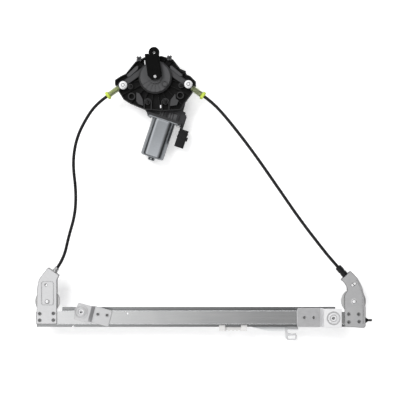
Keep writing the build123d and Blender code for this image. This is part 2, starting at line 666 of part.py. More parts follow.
def drum_housing():
    """The ribbed moulding over the drum, with its cable ducts, bosses, wells and clip posts."""
    face = outline(HOUSING_OUTLINE, HOUSING_CORNER)
    body = upright(face, HOUSING_BACK, HOUSING_RIM)
    inner = offset(face, -HOUSING_WALL, kind=Kind.INTERSECTION)
    body -= upright(inner, HOUSING_BACK + HOUSING_FLOOR, HOUSING_RIM + OVER)
    reach = max(hypot(x, y) for x, y in HOUSING_OUTLINE)
    rib = block(CUP_R - OVER, reach, -RIB_T / 2, RIB_T / 2, HOUSING_BACK + OVER, HOUSING_RIM - 1.5)
    turn = 360 / RIBS
    body += [Rot(0, 0, (i + 0.5) * turn) * rib for i in range(RIBS)]
    body += [Pos(x, y, 0) * screw_well() for x, y in SCREWS if y < -CUP_R]
    body = body & upright(face, HOUSING_BACK, 0)

    body += rod(*TOP_BOSS, HOUSING_BACK, STRAP_BACK, TOP_BOSS_R)
    body += [rod(x, y, FIXING_FLOOR - 2, FIXING_TOP, FIXING_R) for x, y in FIXINGS]
    body += [rod(x, y, HOUSING_BACK, BOSS_TOP, BOSS_R) for x, y in SCREWS]
    body += [rod(x, y, HOUSING_BACK, BOSS_TOP - 3, RING_BOSS_R) for x, y in RING_BOSSES]
    body += [clip_post(x, y) for x, y in CLIP_POSTS]
    body += turned([
        (0, HOUSING_BACK), (CUP_R, HOUSING_BACK), (CUP_R, CUP_TOP - CUP_BEVEL), (CUP_R - CUP_BEVEL, CUP_TOP),
        (HUB_R, CUP_TOP), (HUB_R, STRAP_BACK), (HUB_R - HUB_WALL, STRAP_BACK), (HUB_R - HUB_WALL, CUP_TOP),
        (0, CUP_TOP),
    ])
    ray = block(HUB_R - OVER, CUP_R - CUP_BEVEL - 0.5, -DISC_RIB_T / 2, DISC_RIB_T / 2,
                CUP_TOP - OVER, CUP_TOP + DISC_RIB_H)
    body += [Rot(0, 0, i * 20 - 150) * ray for i in range(DISC_RIBS)]
    body += rod(*DISC_BOSS, CUP_TOP - OVER, CUP_TOP + 2 * DISC_RIB_H, DISC_BOSS_R)
    here = DRUM_AT.inverse()
    duct = upright(RectangleRounded(2 * DUCT_HALF, 2 * DUCT_HALF, DUCT_CORNER), DUCT_FROM, SEAT_T)
    duct += Pos(0, 0, SEAT_T - SEAT_DEEP) * Cylinder(SEAT_R, SEAT_DEEP, align=BASE)
    body += [here * along((*touch, CABLE_Z), direction) * duct for touch, direction in DUCTS]

    room = CUP_R - CUP_WALL
    ceiling = CUP_TOP - CUP_WALL
    body -= turned([(0, HOUSING_BACK - OVER), (room, HOUSING_BACK - OVER), (room, ceiling - 2),
                    (room - 2, ceiling), (0, ceiling)])
    body -= rod(0, 0, ceiling - OVER, 0, AXLE_R + RUNNING)
    slot = Pos(0, -DUCT_HALF + 2, 0) * Box(4 * WIRE_R, 2 * DUCT_HALF - 1, SEAT_T - SEAT_DEEP, align=BASE)
    bore = Pos(0, 0, SEAT_T - SEAT_DEEP - OVER) * Cylinder(SOCKET_R, SEAT_DEEP + 2 * OVER, align=BASE)
    spring_room = Pos(0, 0, SEAT_T) * Cylinder(SPRING_R + SPRING_WIRE_R + SLIDING, CAP_FROM, align=BASE)
    cuts = slot + bore + spring_room
    for touch, direction in DUCTS:
        body -= here * along((*touch, CABLE_Z), direction) * cuts
    body -= rod(*TOP_BOSS, HOUSING_BACK - OVER, 0, TOP_HOLE_R)
    body -= [rod(x, y, FIXING_FLOOR, 0, INSERT_R) for x, y in FIXINGS]
    body -= [rod(x, y, HOUSING_BACK - OVER, 0, SCREW_R) for x, y in SCREWS]
    body -= [rod(x, y, HOUSING_BACK + HOUSING_FLOOR, 0, RING_BORE_R) for x, y in RING_BOSSES]
    return DRUM_AT * body


def fixing_nuts():
    """Two flanged nut inserts, with the threads that bolt the drive to the door."""
    flange = FIXING_R - 0.4
    hexagon = INSERT_R - 0.2
    shape = turned([
        (MOUNT_BOLT_R, FIXING_FLOOR), (INSERT_R, FIXING_FLOOR), (INSERT_R, FIXING_TOP), (flange, FIXING_TOP),
        (flange, FIXING_TOP + 1.4), (hexagon, FIXING_TOP + 2.0), (MOUNT_BOLT_R, FIXING_TOP + 2.0),
    ])
    collar = RegularPolygon(hexagon, 6) - Circle(MOUNT_BOLT_R)
    shape += upright(collar, FIXING_TOP + 2.0, FIXING_TOP + 5.0)
    return Compound([DRUM_AT * Pos(x, y, 0) * shape for x, y in FIXINGS])


def housing_screws():
    """Four screws that hold the drum housing on the gearbox."""
    shape = turned([
        (0, BOSS_TOP + 2.0), (SCREW_HEAD_R - 0.6, BOSS_TOP + 1.6), (SCREW_HEAD_R, BOSS_TOP),
        (SCREW_R, BOSS_TOP), (SCREW_R, HOUSING_BACK - SCREW_L), (0, HOUSING_BACK - SCREW_L),
    ])
    return Compound([DRUM_AT * Pos(x, y, 0) * shape for x, y in SCREWS])


def bridge_cover():
    """The flat black strap that steadies the axle from the top boss."""
    top = STRAP_BACK + COVER_THICK
    body = slab(STRAP_OUTLINE, STRAP_BACK, top, STRAP_CORNER)
    body += rod(*TOP_BOSS, STRAP_BACK, top, COVER_BOSS_R)
    body = fillet(body.faces().sort_by(Axis.Z)[-1].edges(), COVER_EDGE)
    body -= rod(*TOP_BOSS, STRAP_BACK - OVER, top + OVER, TOP_HOLE_R)
    body -= rod(0, 0, STRAP_BACK - OVER, top + OVER, AXLE_R + RUNNING)
    return DRUM_AT * body


def axle():
    low = WHEEL_FLOOR - GEARBOX_WALL + OPEN_GAP
    top = STRAP_BACK + COVER_THICK
    return DRUM_AT * turned([(0, low), (AXLE_R, low), (AXLE_R, top - 0.5), (AXLE_R - 0.5, top), (0, top)])


# Cable drum and its drive

def cable_drum():
    """The grooved drum, with the rims that keep the cable on it."""
    bore = AXLE_R + RUNNING
    floor = DRUM_FRONT - DRUM_RECESS
    inner = DRUM_BED_R - 3.0
    body = turned([
        (bore, DRUM_FRONT), (DRUM_HUB_R, DRUM_FRONT), (DRUM_HUB_R, floor), (inner, floor),
        (inner, DRUM_FRONT), (DRUM_RIM_R, DRUM_FRONT), (DRUM_BED_R, DRUM_FRONT - DRUM_RIM_T),
        (DRUM_BED_R, DRUM_BACK + DRUM_RIM_T), (DRUM_RIM_R, DRUM_BACK), (bore, DRUM_BACK),
    ])
    hole = rod((DRUM_HUB_R + inner) / 2, 0, DRUM_BACK - OVER, DRUM_FRONT, DRUM_HOLE_R)
    body -= [Rot(0, 0, i * 60) * hole for i in range(6)]
    body -= upright(RegularPolygon(DOG_BOSS_R + RUNNING, 6), DRUM_BACK, DOG_BOSS_TOP)
    return DRUM_AT * body


def cable_windings():
    """The turns of cable lying on the drum."""
    low = DRUM_BACK + DRUM_RIM_T
    pitch = (DRUM_W - 2 * DRUM_RIM_T) / WINDINGS
    points = [(DRUM_BED_R, low)]
    for i in range(WINDINGS):
        points.append((DRUM_BED_R + WIRE_R, low + pitch * i))
        points.append((DRUM_BED_R + 2 * WIRE_R, low + pitch * (i + 0.5)))
    points.append((DRUM_BED_R + WIRE_R, low + pitch * WINDINGS))
    points.append((DRUM_BED_R, low + pitch * WINDINGS))
    return DRUM_AT * turned(points)


def worm_wheel():
    """The moulded wheel that the worm turns, with the pocket for its rubber damper."""
    root = WHEEL_R - WHEEL_DEDENDUM
    tip = WHEEL_R + ADDENDUM
    flank = [(root, TOOTH_ROOT_HALF), (tip, TOOTH_TIP_HALF), (tip, -TOOTH_TIP_HALF), (root, -TOOTH_ROOT_HALF)]
    points = []
    for i in range(TEETH):
        middle = radians(-LEAN) + i * 2 * pi / TEETH
        for r, half in flank:
            angle = middle - half / WHEEL_R
            points.append((r * cos(angle), r * sin(angle)))
    body = upright(outline(points), WHEEL_BACK, WHEEL_FRONT)
    pocket = WHEEL_FRONT - POCKET_DEEP
    body -= tube(POCKET_IN, POCKET_OUT, pocket, WHEEL_FRONT + OVER)
    body -= rod(0, 0, WHEEL_BACK - OVER, WHEEL_FRONT + OVER, AXLE_R + RUNNING)
    return DRUM_AT * body


def dog_arms():
    """The fingers that drive through the damper."""
    low = WHEEL_FRONT - POCKET_DEEP + SLIDING
    arm = block(*DOG_ARM, -DOG_ARM_HALF, DOG_ARM_HALF, low, WHEEL_FRONT)
    return [Rot(0, 0, i * 360 / DOG_ARMS) * arm for i in range(DOG_ARMS)]


def damper():
    body = tube(POCKET_IN, POCKET_OUT, WHEEL_FRONT - POCKET_DEEP, WHEEL_FRONT)
    return DRUM_AT * (body - dog_arms())


def drive_dog():
    body = rod(0, 0, WHEEL_FRONT, WHEEL_FRONT + DOG_T, POCKET_OUT - OPEN_GAP)
    body += upright(RegularPolygon(DOG_BOSS_R, 6), WHEEL_FRONT, DOG_BOSS_TOP)
    body += dog_arms()
    body -= rod(0, 0, WHEEL_FRONT - POCKET_DEEP, DOG_BOSS_TOP + OVER, AXLE_R + RUNNING)
    return DRUM_AT * body


def gearbox():
    """The moulded case round the wheel, the worm and the brush holder."""
    low = WHEEL_FLOOR - GEARBOX_WALL
    outer = GEARBOX_R + GEARBOX_WALL
    body = rod(0, 0, low, LID_BACK, outer)
    for x, y in SCREWS:
        body += rod(x, y, LID_BACK - SCREW_L - OPEN_GAP, HOUSING_BACK, BOSS_R)
        web = block(GEARBOX_R + OVER, hypot(x, y), -WEB_T / 2, WEB_T / 2, LID_BACK - WEB_DEEP, LID_BACK)
        body += Rot(0, 0, degrees(atan2(y, x))) * web
    body = DRUM_AT * body
    skirt = DRUM_AT * slab(SKIRT_OUTLINE, LID_BACK - SKIRT_DEEP, LID_BACK, SKIRT_CORNER)
    body += skirt - WORM_AT * upright(Rectangle(4 * CASE_W, 4 * CASE_DEEP), FLANGE_T, 2 * FLANGE_T)
    front = FRONT_BUSH[0] - GEARBOX_WALL
    tunnel = Pos(0, 0, front) * Cylinder(TUNNEL_R + TUNNEL_WALL, FLANGE_T - front, align=BASE)
    case = upright(Rectangle(CASE_W, CASE_DEEP), CARD_FROM - GEARBOX_WALL, FLANGE_T)
    case = Pos(CASE_SIDE, PLUG_Y, 0) * case
    flange = upright(Rectangle(2 * FLANGE_HALF, 2 * FLANGE_HALF_W), FLANGE_T - FLANGE_THREAD, FLANGE_T)
    neck = Pos(NECK_SIDE, PLUG_Y, 0) * upright(Rectangle(NECK_W, CASE_DEEP - 7.0), CARD_FROM, PLUG_FROM)
    body += WORM_AT * (tunnel + case + flange + neck)
    body -= DRUM_AT * rod(0, 0, WHEEL_FLOOR, LID_BACK + OVER, GEARBOX_R)
    body -= DRUM_AT * rod(0, 0, LID_BACK, 0, outer + SLIDING)
    lid = offset(outline(HOUSING_OUTLINE), SLIDING, kind=Kind.INTERSECTION)
    body -= DRUM_AT * upright(lid, HOUSING_BACK, 0)
    body += DRUM_AT * tube(AXLE_R, AXLE_R + 4.0, WHEEL_FLOOR - OVER, WHEEL_BACK - SLIDING)
    bore = Pos(0, 0, FRONT_BUSH[0]) * Cylinder(BEARING_R, FLANGE_T + OVER - FRONT_BUSH[0], align=BASE)
    bore += Pos(0, 0, FRONT_BUSH[1]) * Cylinder(TUNNEL_R, 42, align=BASE)
    hollow = Pos(0, CARD_Y, CARD_FROM) * Box(2 * CARD_HALF, CARD_DEEP, FLANGE_T, align=BASE)
    body -= WORM_AT * (bore + hollow)
    body -= DRUM_AT * rod(0, 0, low + OPEN_GAP, LID_BACK, AXLE_R)
    body -= [DRUM_AT * rod(x, y, HOUSING_BACK - SCREW_L, 0, SCREW_R) for x, y in SCREWS]
    for side in (-FLANGE_SCREW, FLANGE_SCREW):
        thread = Pos(side, 0, FLANGE_T - FLANGE_THREAD) * Cylinder(SCREW_R, FLANGE_THREAD + OVER, align=BASE)
        body -= WORM_AT * thread
    return body


def gearbox_cover():
    return DRUM_AT * tube(DOG_BOSS_R + OPEN_GAP, GEARBOX_R + GEARBOX_WALL, LID_BACK, HOUSING_BACK)


# Worm, armature and motor

def worm_shaft():
    """The armature's shaft, with the worm rolled on it."""
    pitch = pi * MODULE
    length = WORM_TURNS * pitch
    tip = WORM_R + ADDENDUM
    root = WORM_R - WORM_DEDENDUM
    sunk = root - WORM_R - 0.3
    helix = Helix(pitch=pitch, height=length, radius=WORM_R, center=(0, 0, -length / 2))
    tooth = outline([(sunk, -THREAD_ROOT_HALF), (tip - WORM_R, -THREAD_TIP_HALF),
                     (tip - WORM_R, THREAD_TIP_HALF), (sunk, THREAD_ROOT_HALF)])
    section = Plane(origin=helix @ 0, x_dir=(1, 0, 0), z_dir=helix % 0) * tooth
    thread = Rot(0, 0, -180 * WORM_TURNS) * sweep(section, path=helix, is_frenet=True)
    front = FRONT_BUSH[0] + 0.3
    runout = length / 2 + MODULE
    end = CAN_TO + END_BOSS_L - OPEN_GAP
    body = turned([
        (0, front), (SHAFT_R, front), (SHAFT_R, -runout - 2), (root, -runout), (root, runout),
        (SHAFT_R, runout + 2), (SHAFT_R, end), (0, end),
    ])
    return WORM_AT * (body + thread)


def armature_core():
    """The slotted stack of the armature."""
    body = tube(SHAFT_R, CORE_R, CORE_FROM, CORE_TO)
    slot = Pos(CORE_R - 3.9, 0) * Rectangle(5.0, 3.6) + Pos(CORE_R - 1.0, 0) * Rectangle(4.0, 1.4)
    cut = upright(slot, CORE_FROM, CORE_TO)
    return WORM_AT * (body - [Rot(0, 0, i * 360 / CORE_SLOTS) * cut for i in range(CORE_SLOTS)])


def armature_windings():
    """The copper heads of the winding at both ends of the core."""
    heads = []
    for face, outward in ((CORE_FROM, -1), (CORE_TO, 1)):
        end = face + outward * WINDING_L
        ring = [(SHAFT_R, face), (WINDING_R, face), (WINDING_R - 2.0, end), (SHAFT_R, end)]
        heads.append(WORM_AT * turned(ring))
    return Compound(heads)


def commutator():
    low, high = CARD_FROM + 3.0, FLANGE_T - OPEN_GAP
    body = tube(SHAFT_R, COMMUTATOR_R, low, high)
    groove = Pos(COMMUTATOR_R, 0, low) * Box(1.6, 0.5, high - low - 2, align=BASE)
    return WORM_AT * (body - [Rot(0, 0, i * 360 / CORE_SLOTS) * groove for i in range(CORE_SLOTS)])


def brush_place(side):
    """Middle of a brush's foot, just clear of the commutator."""
    return Pos(side * (COMMUTATOR_R + RUNNING + BRUSH_L / 2), 0, CARD_FROM + CARD_T + 2.0)


def brush_holder():
    """The plate that carries the two brushes, clear of the commutator."""
    body = Pos(0, CARD_Y, CARD_FROM) * Box(2 * CARD_HALF, CARD_DEEP, CARD_T, align=BASE)
    for side in (-1, 1):
        guide = Pos(side * (COMMUTATOR_R + BRUSH_L / 2 + 1), 0, CARD_FROM)
        body += guide * Box(BRUSH_L, BRUSH_SIZE[0] + 3.0, BRUSH_SIZE[1] + 6.0, align=BASE)
        body -= brush_place(side) * Box(BRUSH_L + 6, *BRUSH_SIZE, align=BASE)
    body -= Pos(0, 0, CARD_FROM - OVER) * Cylinder(COMMUTATOR_R + GUIDE_PLAY, FLANGE_T, align=BASE)
    return WORM_AT * body


def brushes():
    return Compound([WORM_AT * brush_place(side) * Box(BRUSH_L, *BRUSH_SIZE, align=BASE) for side in (-1, 1)])


def shaft_bushes():
    """The three sintered bearings of the armature."""
    bore = SHAFT_R + RUNNING
    end = CAN_TO + OPEN_GAP
    bushes = [tube(bore, BEARING_R, *FRONT_BUSH), tube(bore, BEARING_R, *MIDDLE_BUSH),
              tube(bore, END_BUSH_R, end, end + END_BUSH_L)]
    return Compound([WORM_AT * bush for bush in bushes])


def can_profile(radius, half):
    """The motor's round section with its two flat sides."""
    return Circle(radius) & Rectangle(2 * radius, 2 * half)


def motor_can():
    """The drawn steel can, its stepped end and its bearing boss."""
    profile = fillet(can_profile(CAN_R, CAN_HALF).vertices(), CAN_CORNER)
    outer = upright(profile, CAN_FROM, CAN_TO)
    outer = fillet(outer.faces().sort_by(Axis.Z)[-1].edges(), CAN_SHOULDER)
    outer += upright(can_profile(CAN_R - CAN_STEP_IN, CAN_HALF - CAN_STEP_IN), CAN_TO, CAN_TO + CAN_STEP)
    outer += Pos(0, 0, CAN_TO) * Cylinder(END_BOSS_R, END_BOSS_L, align=BASE)
    inner = upright(can_profile(CAN_R - CAN_WALL, CAN_HALF - CAN_WALL), CAN_FROM, CAN_TO - CAN_WALL)
    inner += Pos(0, 0, CAN_TO - CAN_WALL) * Cylinder(END_BUSH_R, CAN_WALL + END_BOSS_L - 0.5, align=BASE)
    return WORM_AT * (outer - inner)


def motor_flange():
    """The can's turned-out flange, screwed to the gearbox."""
    plate = RectangleRounded(2 * FLANGE_HALF, 2 * FLANGE_HALF_W, FLANGE_CORNER)
    plate -= can_profile(CAN_R - CAN_WALL, FLANGE_HALF_W - CAN_WALL)
    plate -= [Pos(side, 0) * Circle(SCREW_R) for side in (-FLANGE_SCREW, FLANGE_SCREW)]
    return WORM_AT * upright(plate, FLANGE_T, CAN_FROM)


def motor_screws():
    low = FLANGE_T - FLANGE_THREAD
    head = SCREW_HEAD_R - 0.2
    shape = turned([
        (0, CAN_FROM + 2.4), (head - 0.4, CAN_FROM + 2.4), (head, CAN_FROM), (SCREW_R, CAN_FROM),
        (SCREW_R, low), (0, low),
    ])
    return Compound([WORM_AT * Pos(side, 0, 0) * shape for side in (-FLANGE_SCREW, FLANGE_SCREW)])


def magnets():
    """The two curved magnets inside the can."""
    out = CAN_R - CAN_WALL
    half = CAN_HALF - CAN_WALL - OPEN_GAP
    ring = Circle(out) - Circle(out - MAGNET_T)
    pieces = []
    for side in (-1, 1):
        window = Pos(side * (COMMUTATOR_R + out / 2), 0) * Rectangle(out, 2 * half)
        pieces.append(WORM_AT * upright(ring & window, CORE_FROM - 4, CORE_TO + 4))
    return Compound([piece.solid() for piece in pieces])


def connector():
    """The plug socket beside the motor, open at its lower end, with ribs and a latch."""
    middle = Pos(PLUG_SIDE, PLUG_Y, 0)
    wide, deep = 2 * PLUG_HALF, 2 * PLUG_DEEP
    body = middle * upright(RectangleRounded(wide, deep, PLUG_CORNER), PLUG_FROM, PLUG_FROM + PLUG_L)
    grown = RectangleRounded(wide + 2 * PLUG_RIB, deep + 2 * PLUG_RIB, PLUG_CORNER)
    body += [middle * upright(grown, PLUG_FROM + low, PLUG_FROM + low + 2) for low in PLUG_RIBS]
    latch = Pos(PLUG_SIDE + PLUG_HALF, PLUG_Y, PLUG_FROM + PLUG_RIBS[1] - 2)
    body += latch * Box(PLUG_LATCH[0], PLUG_LATCH[0], PLUG_LATCH[1], align=BASE)
    mouth = RectangleRounded(wide - 2 * PLUG_WALL, deep - 2 * PLUG_WALL, PLUG_CORNER - 0.8)
    end = PLUG_FROM + PLUG_L
    return WORM_AT * (body - middle * upright(mouth, end - PLUG_MOUTH, end + OVER))


def connector_terminals():
    low = PLUG_FROM + PLUG_L - PLUG_MOUTH
    pin = Pos(PLUG_SIDE, PLUG_Y, low) * Box(*PIN_SIZE, align=BASE)
    return Compound([WORM_AT * Pos(side, 0, 0) * pin for side in (-PIN_SPREAD, PIN_SPREAD)])


# Carriage

def slider():
    """The white moulded shoe that wraps the rail's lower lip and runs inside its channel."""
    body = block(SLIDER_LEFT, SLIDER_RIGHT, SLIDER_LOW, SLIDER_TOP, SLIDER_BACK, LIP_BACK - SLIDING)
    lip = WEB_HALF + WALL_DRAFT + OPEN_GAP
    gap = (SHOE_W - 2 * SHOE_GAP) / 3
    for x in (SLIDER_LEFT, SLIDER_RIGHT - SHOE_W):
        body += block(x, x + SHOE_W, SLIDER_LOW, -RAIL_HALF - SLIDING, SLIDER_BACK, SHOE_FRONT)
        body += block(x, x + SHOE_W, SLIDER_LOW, -lip, LIP_FRONT + SLIDING, SHOE_FRONT)
        for cut in (x + gap, x + 2 * gap + SHOE_GAP):
            body -= block(cut, cut + SHOE_GAP, SLIDER_LOW - OVER, SLIDER_LOW + 1.2, SLIDER_BACK - OVER, 0)
    guide = WEB_HALF - PLATE_T - GUIDE_PLAY
    near = RAIL_CABLE_Y - NIPPLE_R - SLIDING
    tongue = (SLIDER_LEFT + 2, SLIDER_RIGHT - 2)
    body += block(*tongue, -guide, near, SLIDER_BACK, CABLE_Z + NIPPLE_R)
    body += block(*tongue, near, guide, SLIDER_BACK, CABLE_Z - NIPPLE_R)
    inset = SHOE_W + 3
    body -= block(SLIDER_LEFT + inset, SLIDER_RIGHT - inset, -6, 4, SLIDER_BACK + 2.5, 0)
    teeth = 4
    pitch = (SLIDER_L - 2 * SHOE_W) / teeth
    for i in range(teeth):
        x = SLIDER_LEFT + SHOE_W + (i + 0.5) * pitch
        body -= block(x - 1.2, x + 1.2, SLIDER_LOW - OVER, SLIDER_LOW + 1.5, SLIDER_BACK - OVER, 0)
    body -= [rod(x, y, SLIDER_BACK - OVER, 0, RIVET_R) for x, y in RIVETS]
    return body


def cable_nipples():
    """The two cable ends, each with room round the standing cable."""
    shape = Rot(0, 90, 0) * tube(WIRE_R + SLIDING, NIPPLE_R, 0, NIPPLE_L)
    places = (SLIDER_LEFT + 4, SLIDER_RIGHT - 4 - NIPPLE_L)
    return Compound([Pos(x, RAIL_CABLE_Y, CABLE_Z) * shape for x in places])


def lift_plate():
    """The pressed plate behind the slider, set back in the middle where the glass channel bolts on."""
    front = SLIDER_BACK
    skin = front - STRAP_T
    floor = PAN_BACK + STRAP_T
    side = [
        (SLIDER_LEFT, front), (PAN_LEFT + STRAP_T, front), (PAN_LEFT + STRAP_T + PAN_RAMP, floor),
        (PAN_RIGHT - STRAP_T - PAN_RAMP, floor), (PAN_RIGHT - STRAP_T, front), (LIFT_END, front),
        (LIFT_END, skin), (PAN_RIGHT, skin), (PAN_RIGHT - PAN_RAMP, PAN_BACK),
        (PAN_LEFT + PAN_RAMP, PAN_BACK), (PAN_LEFT, skin), (SLIDER_LEFT, skin),
    ]
    body = extrude(Plane.XZ.offset(-LIFT_TOP) * outline(side), LIFT_TOP - LIFT_LOW)
    arm = [(CARRIAGE_X + x, y) for x, y in ARM]
    body += slab(arm, skin, front)
    below = ARM[0][1]
    body += block(arm[0][0], PAN_LEFT, below, LIFT_LOW + OVER, skin, front)
    body += block(PAN_RIGHT, LIFT_END, below, LIFT_LOW + OVER, skin, front)
    for x in (CARRIAGE_X - PAN_HOLE_PITCH / 2, CARRIAGE_X + PAN_HOLE_PITCH / 2):
        body -= rod(x, 0, PAN_BACK - OVER, floor + OVER, PAN_HOLE_R)
    body -= [rod(x, y, skin - OVER, front + OVER, RIVET_R) for x, y in RIVETS]
    return body


def carriage_rivets():
    low = SLIDER_BACK - STRAP_T
    top = CABLE_Z + NIPPLE_R
    shape = turned([(0, low - 1.4), (3.6, low - 1.0), (4.2, low), (RIVET_R, low), (RIVET_R, top), (0, top)])
    return Compound([Pos(x, y, 0) * shape for x, y in RIVETS])


def hook_clip():
    """The thin pale clip on the end of the arm, with its tab and its open loop."""
    low, front = SLIDER_BACK, SLIDER_BACK + CLIP_T
    body = slab(CLIP_BAR, low, front, 0.8) + slab(CLIP_TAB, low, front, 0.8)
    body += slab(CLIP_LOOP, low, front, 1.2)
    body -= slab(CLIP_HOLE, low - OVER, front + OVER, 0.8)
    return Pos(CARRIAGE_X, 0, 0) * body


# Cables and conduits

def conduit_points(touch, out_dir, route, edge, in_dir, fitting):
    """From the tensioner's cap, by the route, to the end fitting at the rail."""
    start = step(touch, out_dir, CONDUIT_FROM)
    first = step(start, out_dir, LEAD)
    end = step(edge, in_dir, -fitting)
    last = step(end, in_dir, -LEAD)
    way = (last[0] - first[0], last[1] - first[1])
    length = hypot(*way)
    left = (-way[1] / length, way[0] / length)
    middle = [step(step(first, way, share), left, aside) for share, aside in route]
    return [start, first, *middle, last, end]


def conduit(points):
    """A plain tube of straight runs joined by arcs as large as the runs allow."""
    radii = []
    for a, b, c in zip(points, points[1:], points[2:]):
        shorter = min(hypot(b[0] - a[0], b[1] - a[1]), hypot(c[0] - b[0], c[1] - b[1]))
        turn = abs(degrees(atan2(b[1] - a[1], b[0] - a[0]) - atan2(c[1] - b[1], c[0] - b[0])))
        radii.append(ARC_SHARE * shorter / tan(radians(min(turn, 360 - turn) / 2)))
    path = FilletPolyline(*[(x, y, CABLE_Z) for x, y in points], radius=radii)
    return swept(path, CONDUIT_R)


LEFT_POINTS = conduit_points(DRUM_LEFT_TOUCH, DRUM_LEFT_DIR, LEFT_ROUTE, LEFT_EDGE, LEFT_DIR, SOCKET_L)
RIGHT_POINTS = conduit_points(DRUM_RIGHT_TOUCH, DRUM_RIGHT_DIR, RIGHT_ROUTE, RIGHT_EDGE, RIGHT_DIR, SLEEVE_L)


def rail_cable():
    """The wire from fitting to fitting, round both pulleys and along the rail."""
    left_low = (LEFT_PULLEY_X, RAIL_CABLE_Y, CABLE_Z)
    right_low = (RIGHT_PULLEY_X, RAIL_CABLE_Y, CABLE_Z)
    path = Wire([
        Line((*LEFT_POINTS[-1], CABLE_Z), (*LEFT_TOUCH, CABLE_Z)).edge(),
        TangentArc((*LEFT_TOUCH, CABLE_Z), left_low, tangent=(*LEFT_DIR, 0)).edge(),
        Line(left_low, right_low).edge(),
        TangentArc(right_low, (*RIGHT_TOUCH, CABLE_Z), tangent=(1, 0, 0)).edge(),
        Line((*RIGHT_TOUCH, CABLE_Z), (*RIGHT_POINTS[-1], CABLE_Z)).edge(),
    ])
    return swept(path, WIRE_R)


def drum_cable(touch, direction):
    end = step(touch, direction, CONDUIT_FROM)
    return swept(Line((*touch, CABLE_Z), (*end, CABLE_Z)).edge(), WIRE_R)


def tensioner(touch, direction):
    """The yellow ferrule: a spigot in the housing, a core for the spring and the cap."""
    bore = WIRE_R + SLIDING
    spigot = SOCKET_R - RUNNING
    foot = SEAT_T - SEAT_DEEP + 0.5
    body = turned([
        (bore, foot), (spigot, foot), (spigot, SEAT_T), (FERRULE_CORE_R, SEAT_T), (FERRULE_CORE_R, CAP_FROM),
        (CAP_R - CAP_BEVEL, CAP_FROM), (CAP_R, CAP_FROM + CAP_BEVEL), (CAP_R, CONDUIT_FROM - CAP_BEVEL),
        (CAP_R - CAP_BEVEL, CONDUIT_FROM), (bore, CONDUIT_FROM),
    ])
    return along((*touch, CABLE_Z), direction) * body


def tensioner_spring(touch, direction):
    """The coil spring between the housing and the ferrule's cap."""
    height = SPRING_L - 2 * SPRING_WIRE_R
    start = (0, 0, SEAT_T + SPRING_WIRE_R)
    helix = Helix(pitch=height / SPRING_TURNS, height=height, radius=SPRING_R, center=start)
    section = Plane(origin=helix @ 0, z_dir=helix % 0) * Circle(SPRING_WIRE_R)
    return along((*touch, CABLE_Z), direction) * sweep(section, path=helix, is_frenet=True)


NODES = {
    "guide_rail": guide_rail(),
    "left_end_bracket": left_end_bracket(),
    "right_end_bracket": right_end_bracket(),
    "left_pulley": pulley(LEFT_PULLEY_X),
    "right_pulley": pulley(RIGHT_PULLEY_X),
    "left_pulley_rivet": pulley_rivet(LEFT_PULLEY_X),
    "right_pulley_rivet": pulley_rivet(RIGHT_PULLEY_X),
    "end_stop_buffer": end_stop_buffer(),
    "left_conduit_socket": left_conduit_socket(),
    "right_conduit_sleeve": right_conduit_sleeve(),
    "left_mount_bracket": left_mount_bracket(),
    "right_mount_bracket": right_mount_bracket(),
    "left_mount_nut": LEFT_MOUNT * mount_nut(),
    "right_mount_nut": RIGHT_MOUNT * mount_nut(),
    "slider": slider(),
    "cable_nipples": cable_nipples(),
    "lift_plate": lift_plate(),
    "carriage_rivets": carriage_rivets(),
    "hook_clip": hook_clip(),
    "rail_cable": rail_cable(),
    "left_conduit": conduit(LEFT_POINTS),
    "right_conduit": conduit(RIGHT_POINTS),
    "left_drum_cable": drum_cable(*DUCTS[0]),
    "right_drum_cable": drum_cable(*DUCTS[1]),
    "left_tensioner": tensioner(*DUCTS[0]),
    "right_tensioner": tensioner(*DUCTS[1]),
    "left_tensioner_spring": tensioner_spring(*DUCTS[0]),
    "right_tensioner_spring": tensioner_spring(*DUCTS[1]),
    "drum_housing": drum_housing(),
    "fixing_nuts": fixing_nuts(),
    "housing_screws": housing_screws(),
    "bridge_cover": bridge_cover(),
    "axle": axle(),
    "cable_drum": cable_drum(),
    "cable_windings": cable_windings(),
    "worm_wheel": worm_wheel(),
    "damper": damper(),
    "drive_dog": drive_dog(),
    "gearbox": gearbox(),
    "gearbox_cover": gearbox_cover(),
    "worm_shaft": worm_shaft(),
    "armature_core": armature_core(),
    "armature_windings": armature_windings(),
    "commutator": commutator(),
    "brush_holder": brush_holder(),
    "brushes": brushes(),
    "shaft_bushes": shaft_bushes(),
    "motor_can": motor_can(),
    "motor_flange": motor_flange(),
    "motor_screws": motor_screws(),
    "magnets": magnets(),
    "connector": connector(),
    "connector_terminals": connector_terminals(),
}

for name, shape in NODES.items():
    export_step(shape, f"parts/{name}.step")
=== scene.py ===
"""The looks of a cable-driven window regulator, built on the fixed frame of its CAD model.

+X runs along the rail, +Y towards the motor and +Z to the front. Sizes are in metres, apart from
those of the finer pieces, which are in millimetres.
"""
import json
import math

import bmesh
import bpy
from mathutils import Matrix, Vector


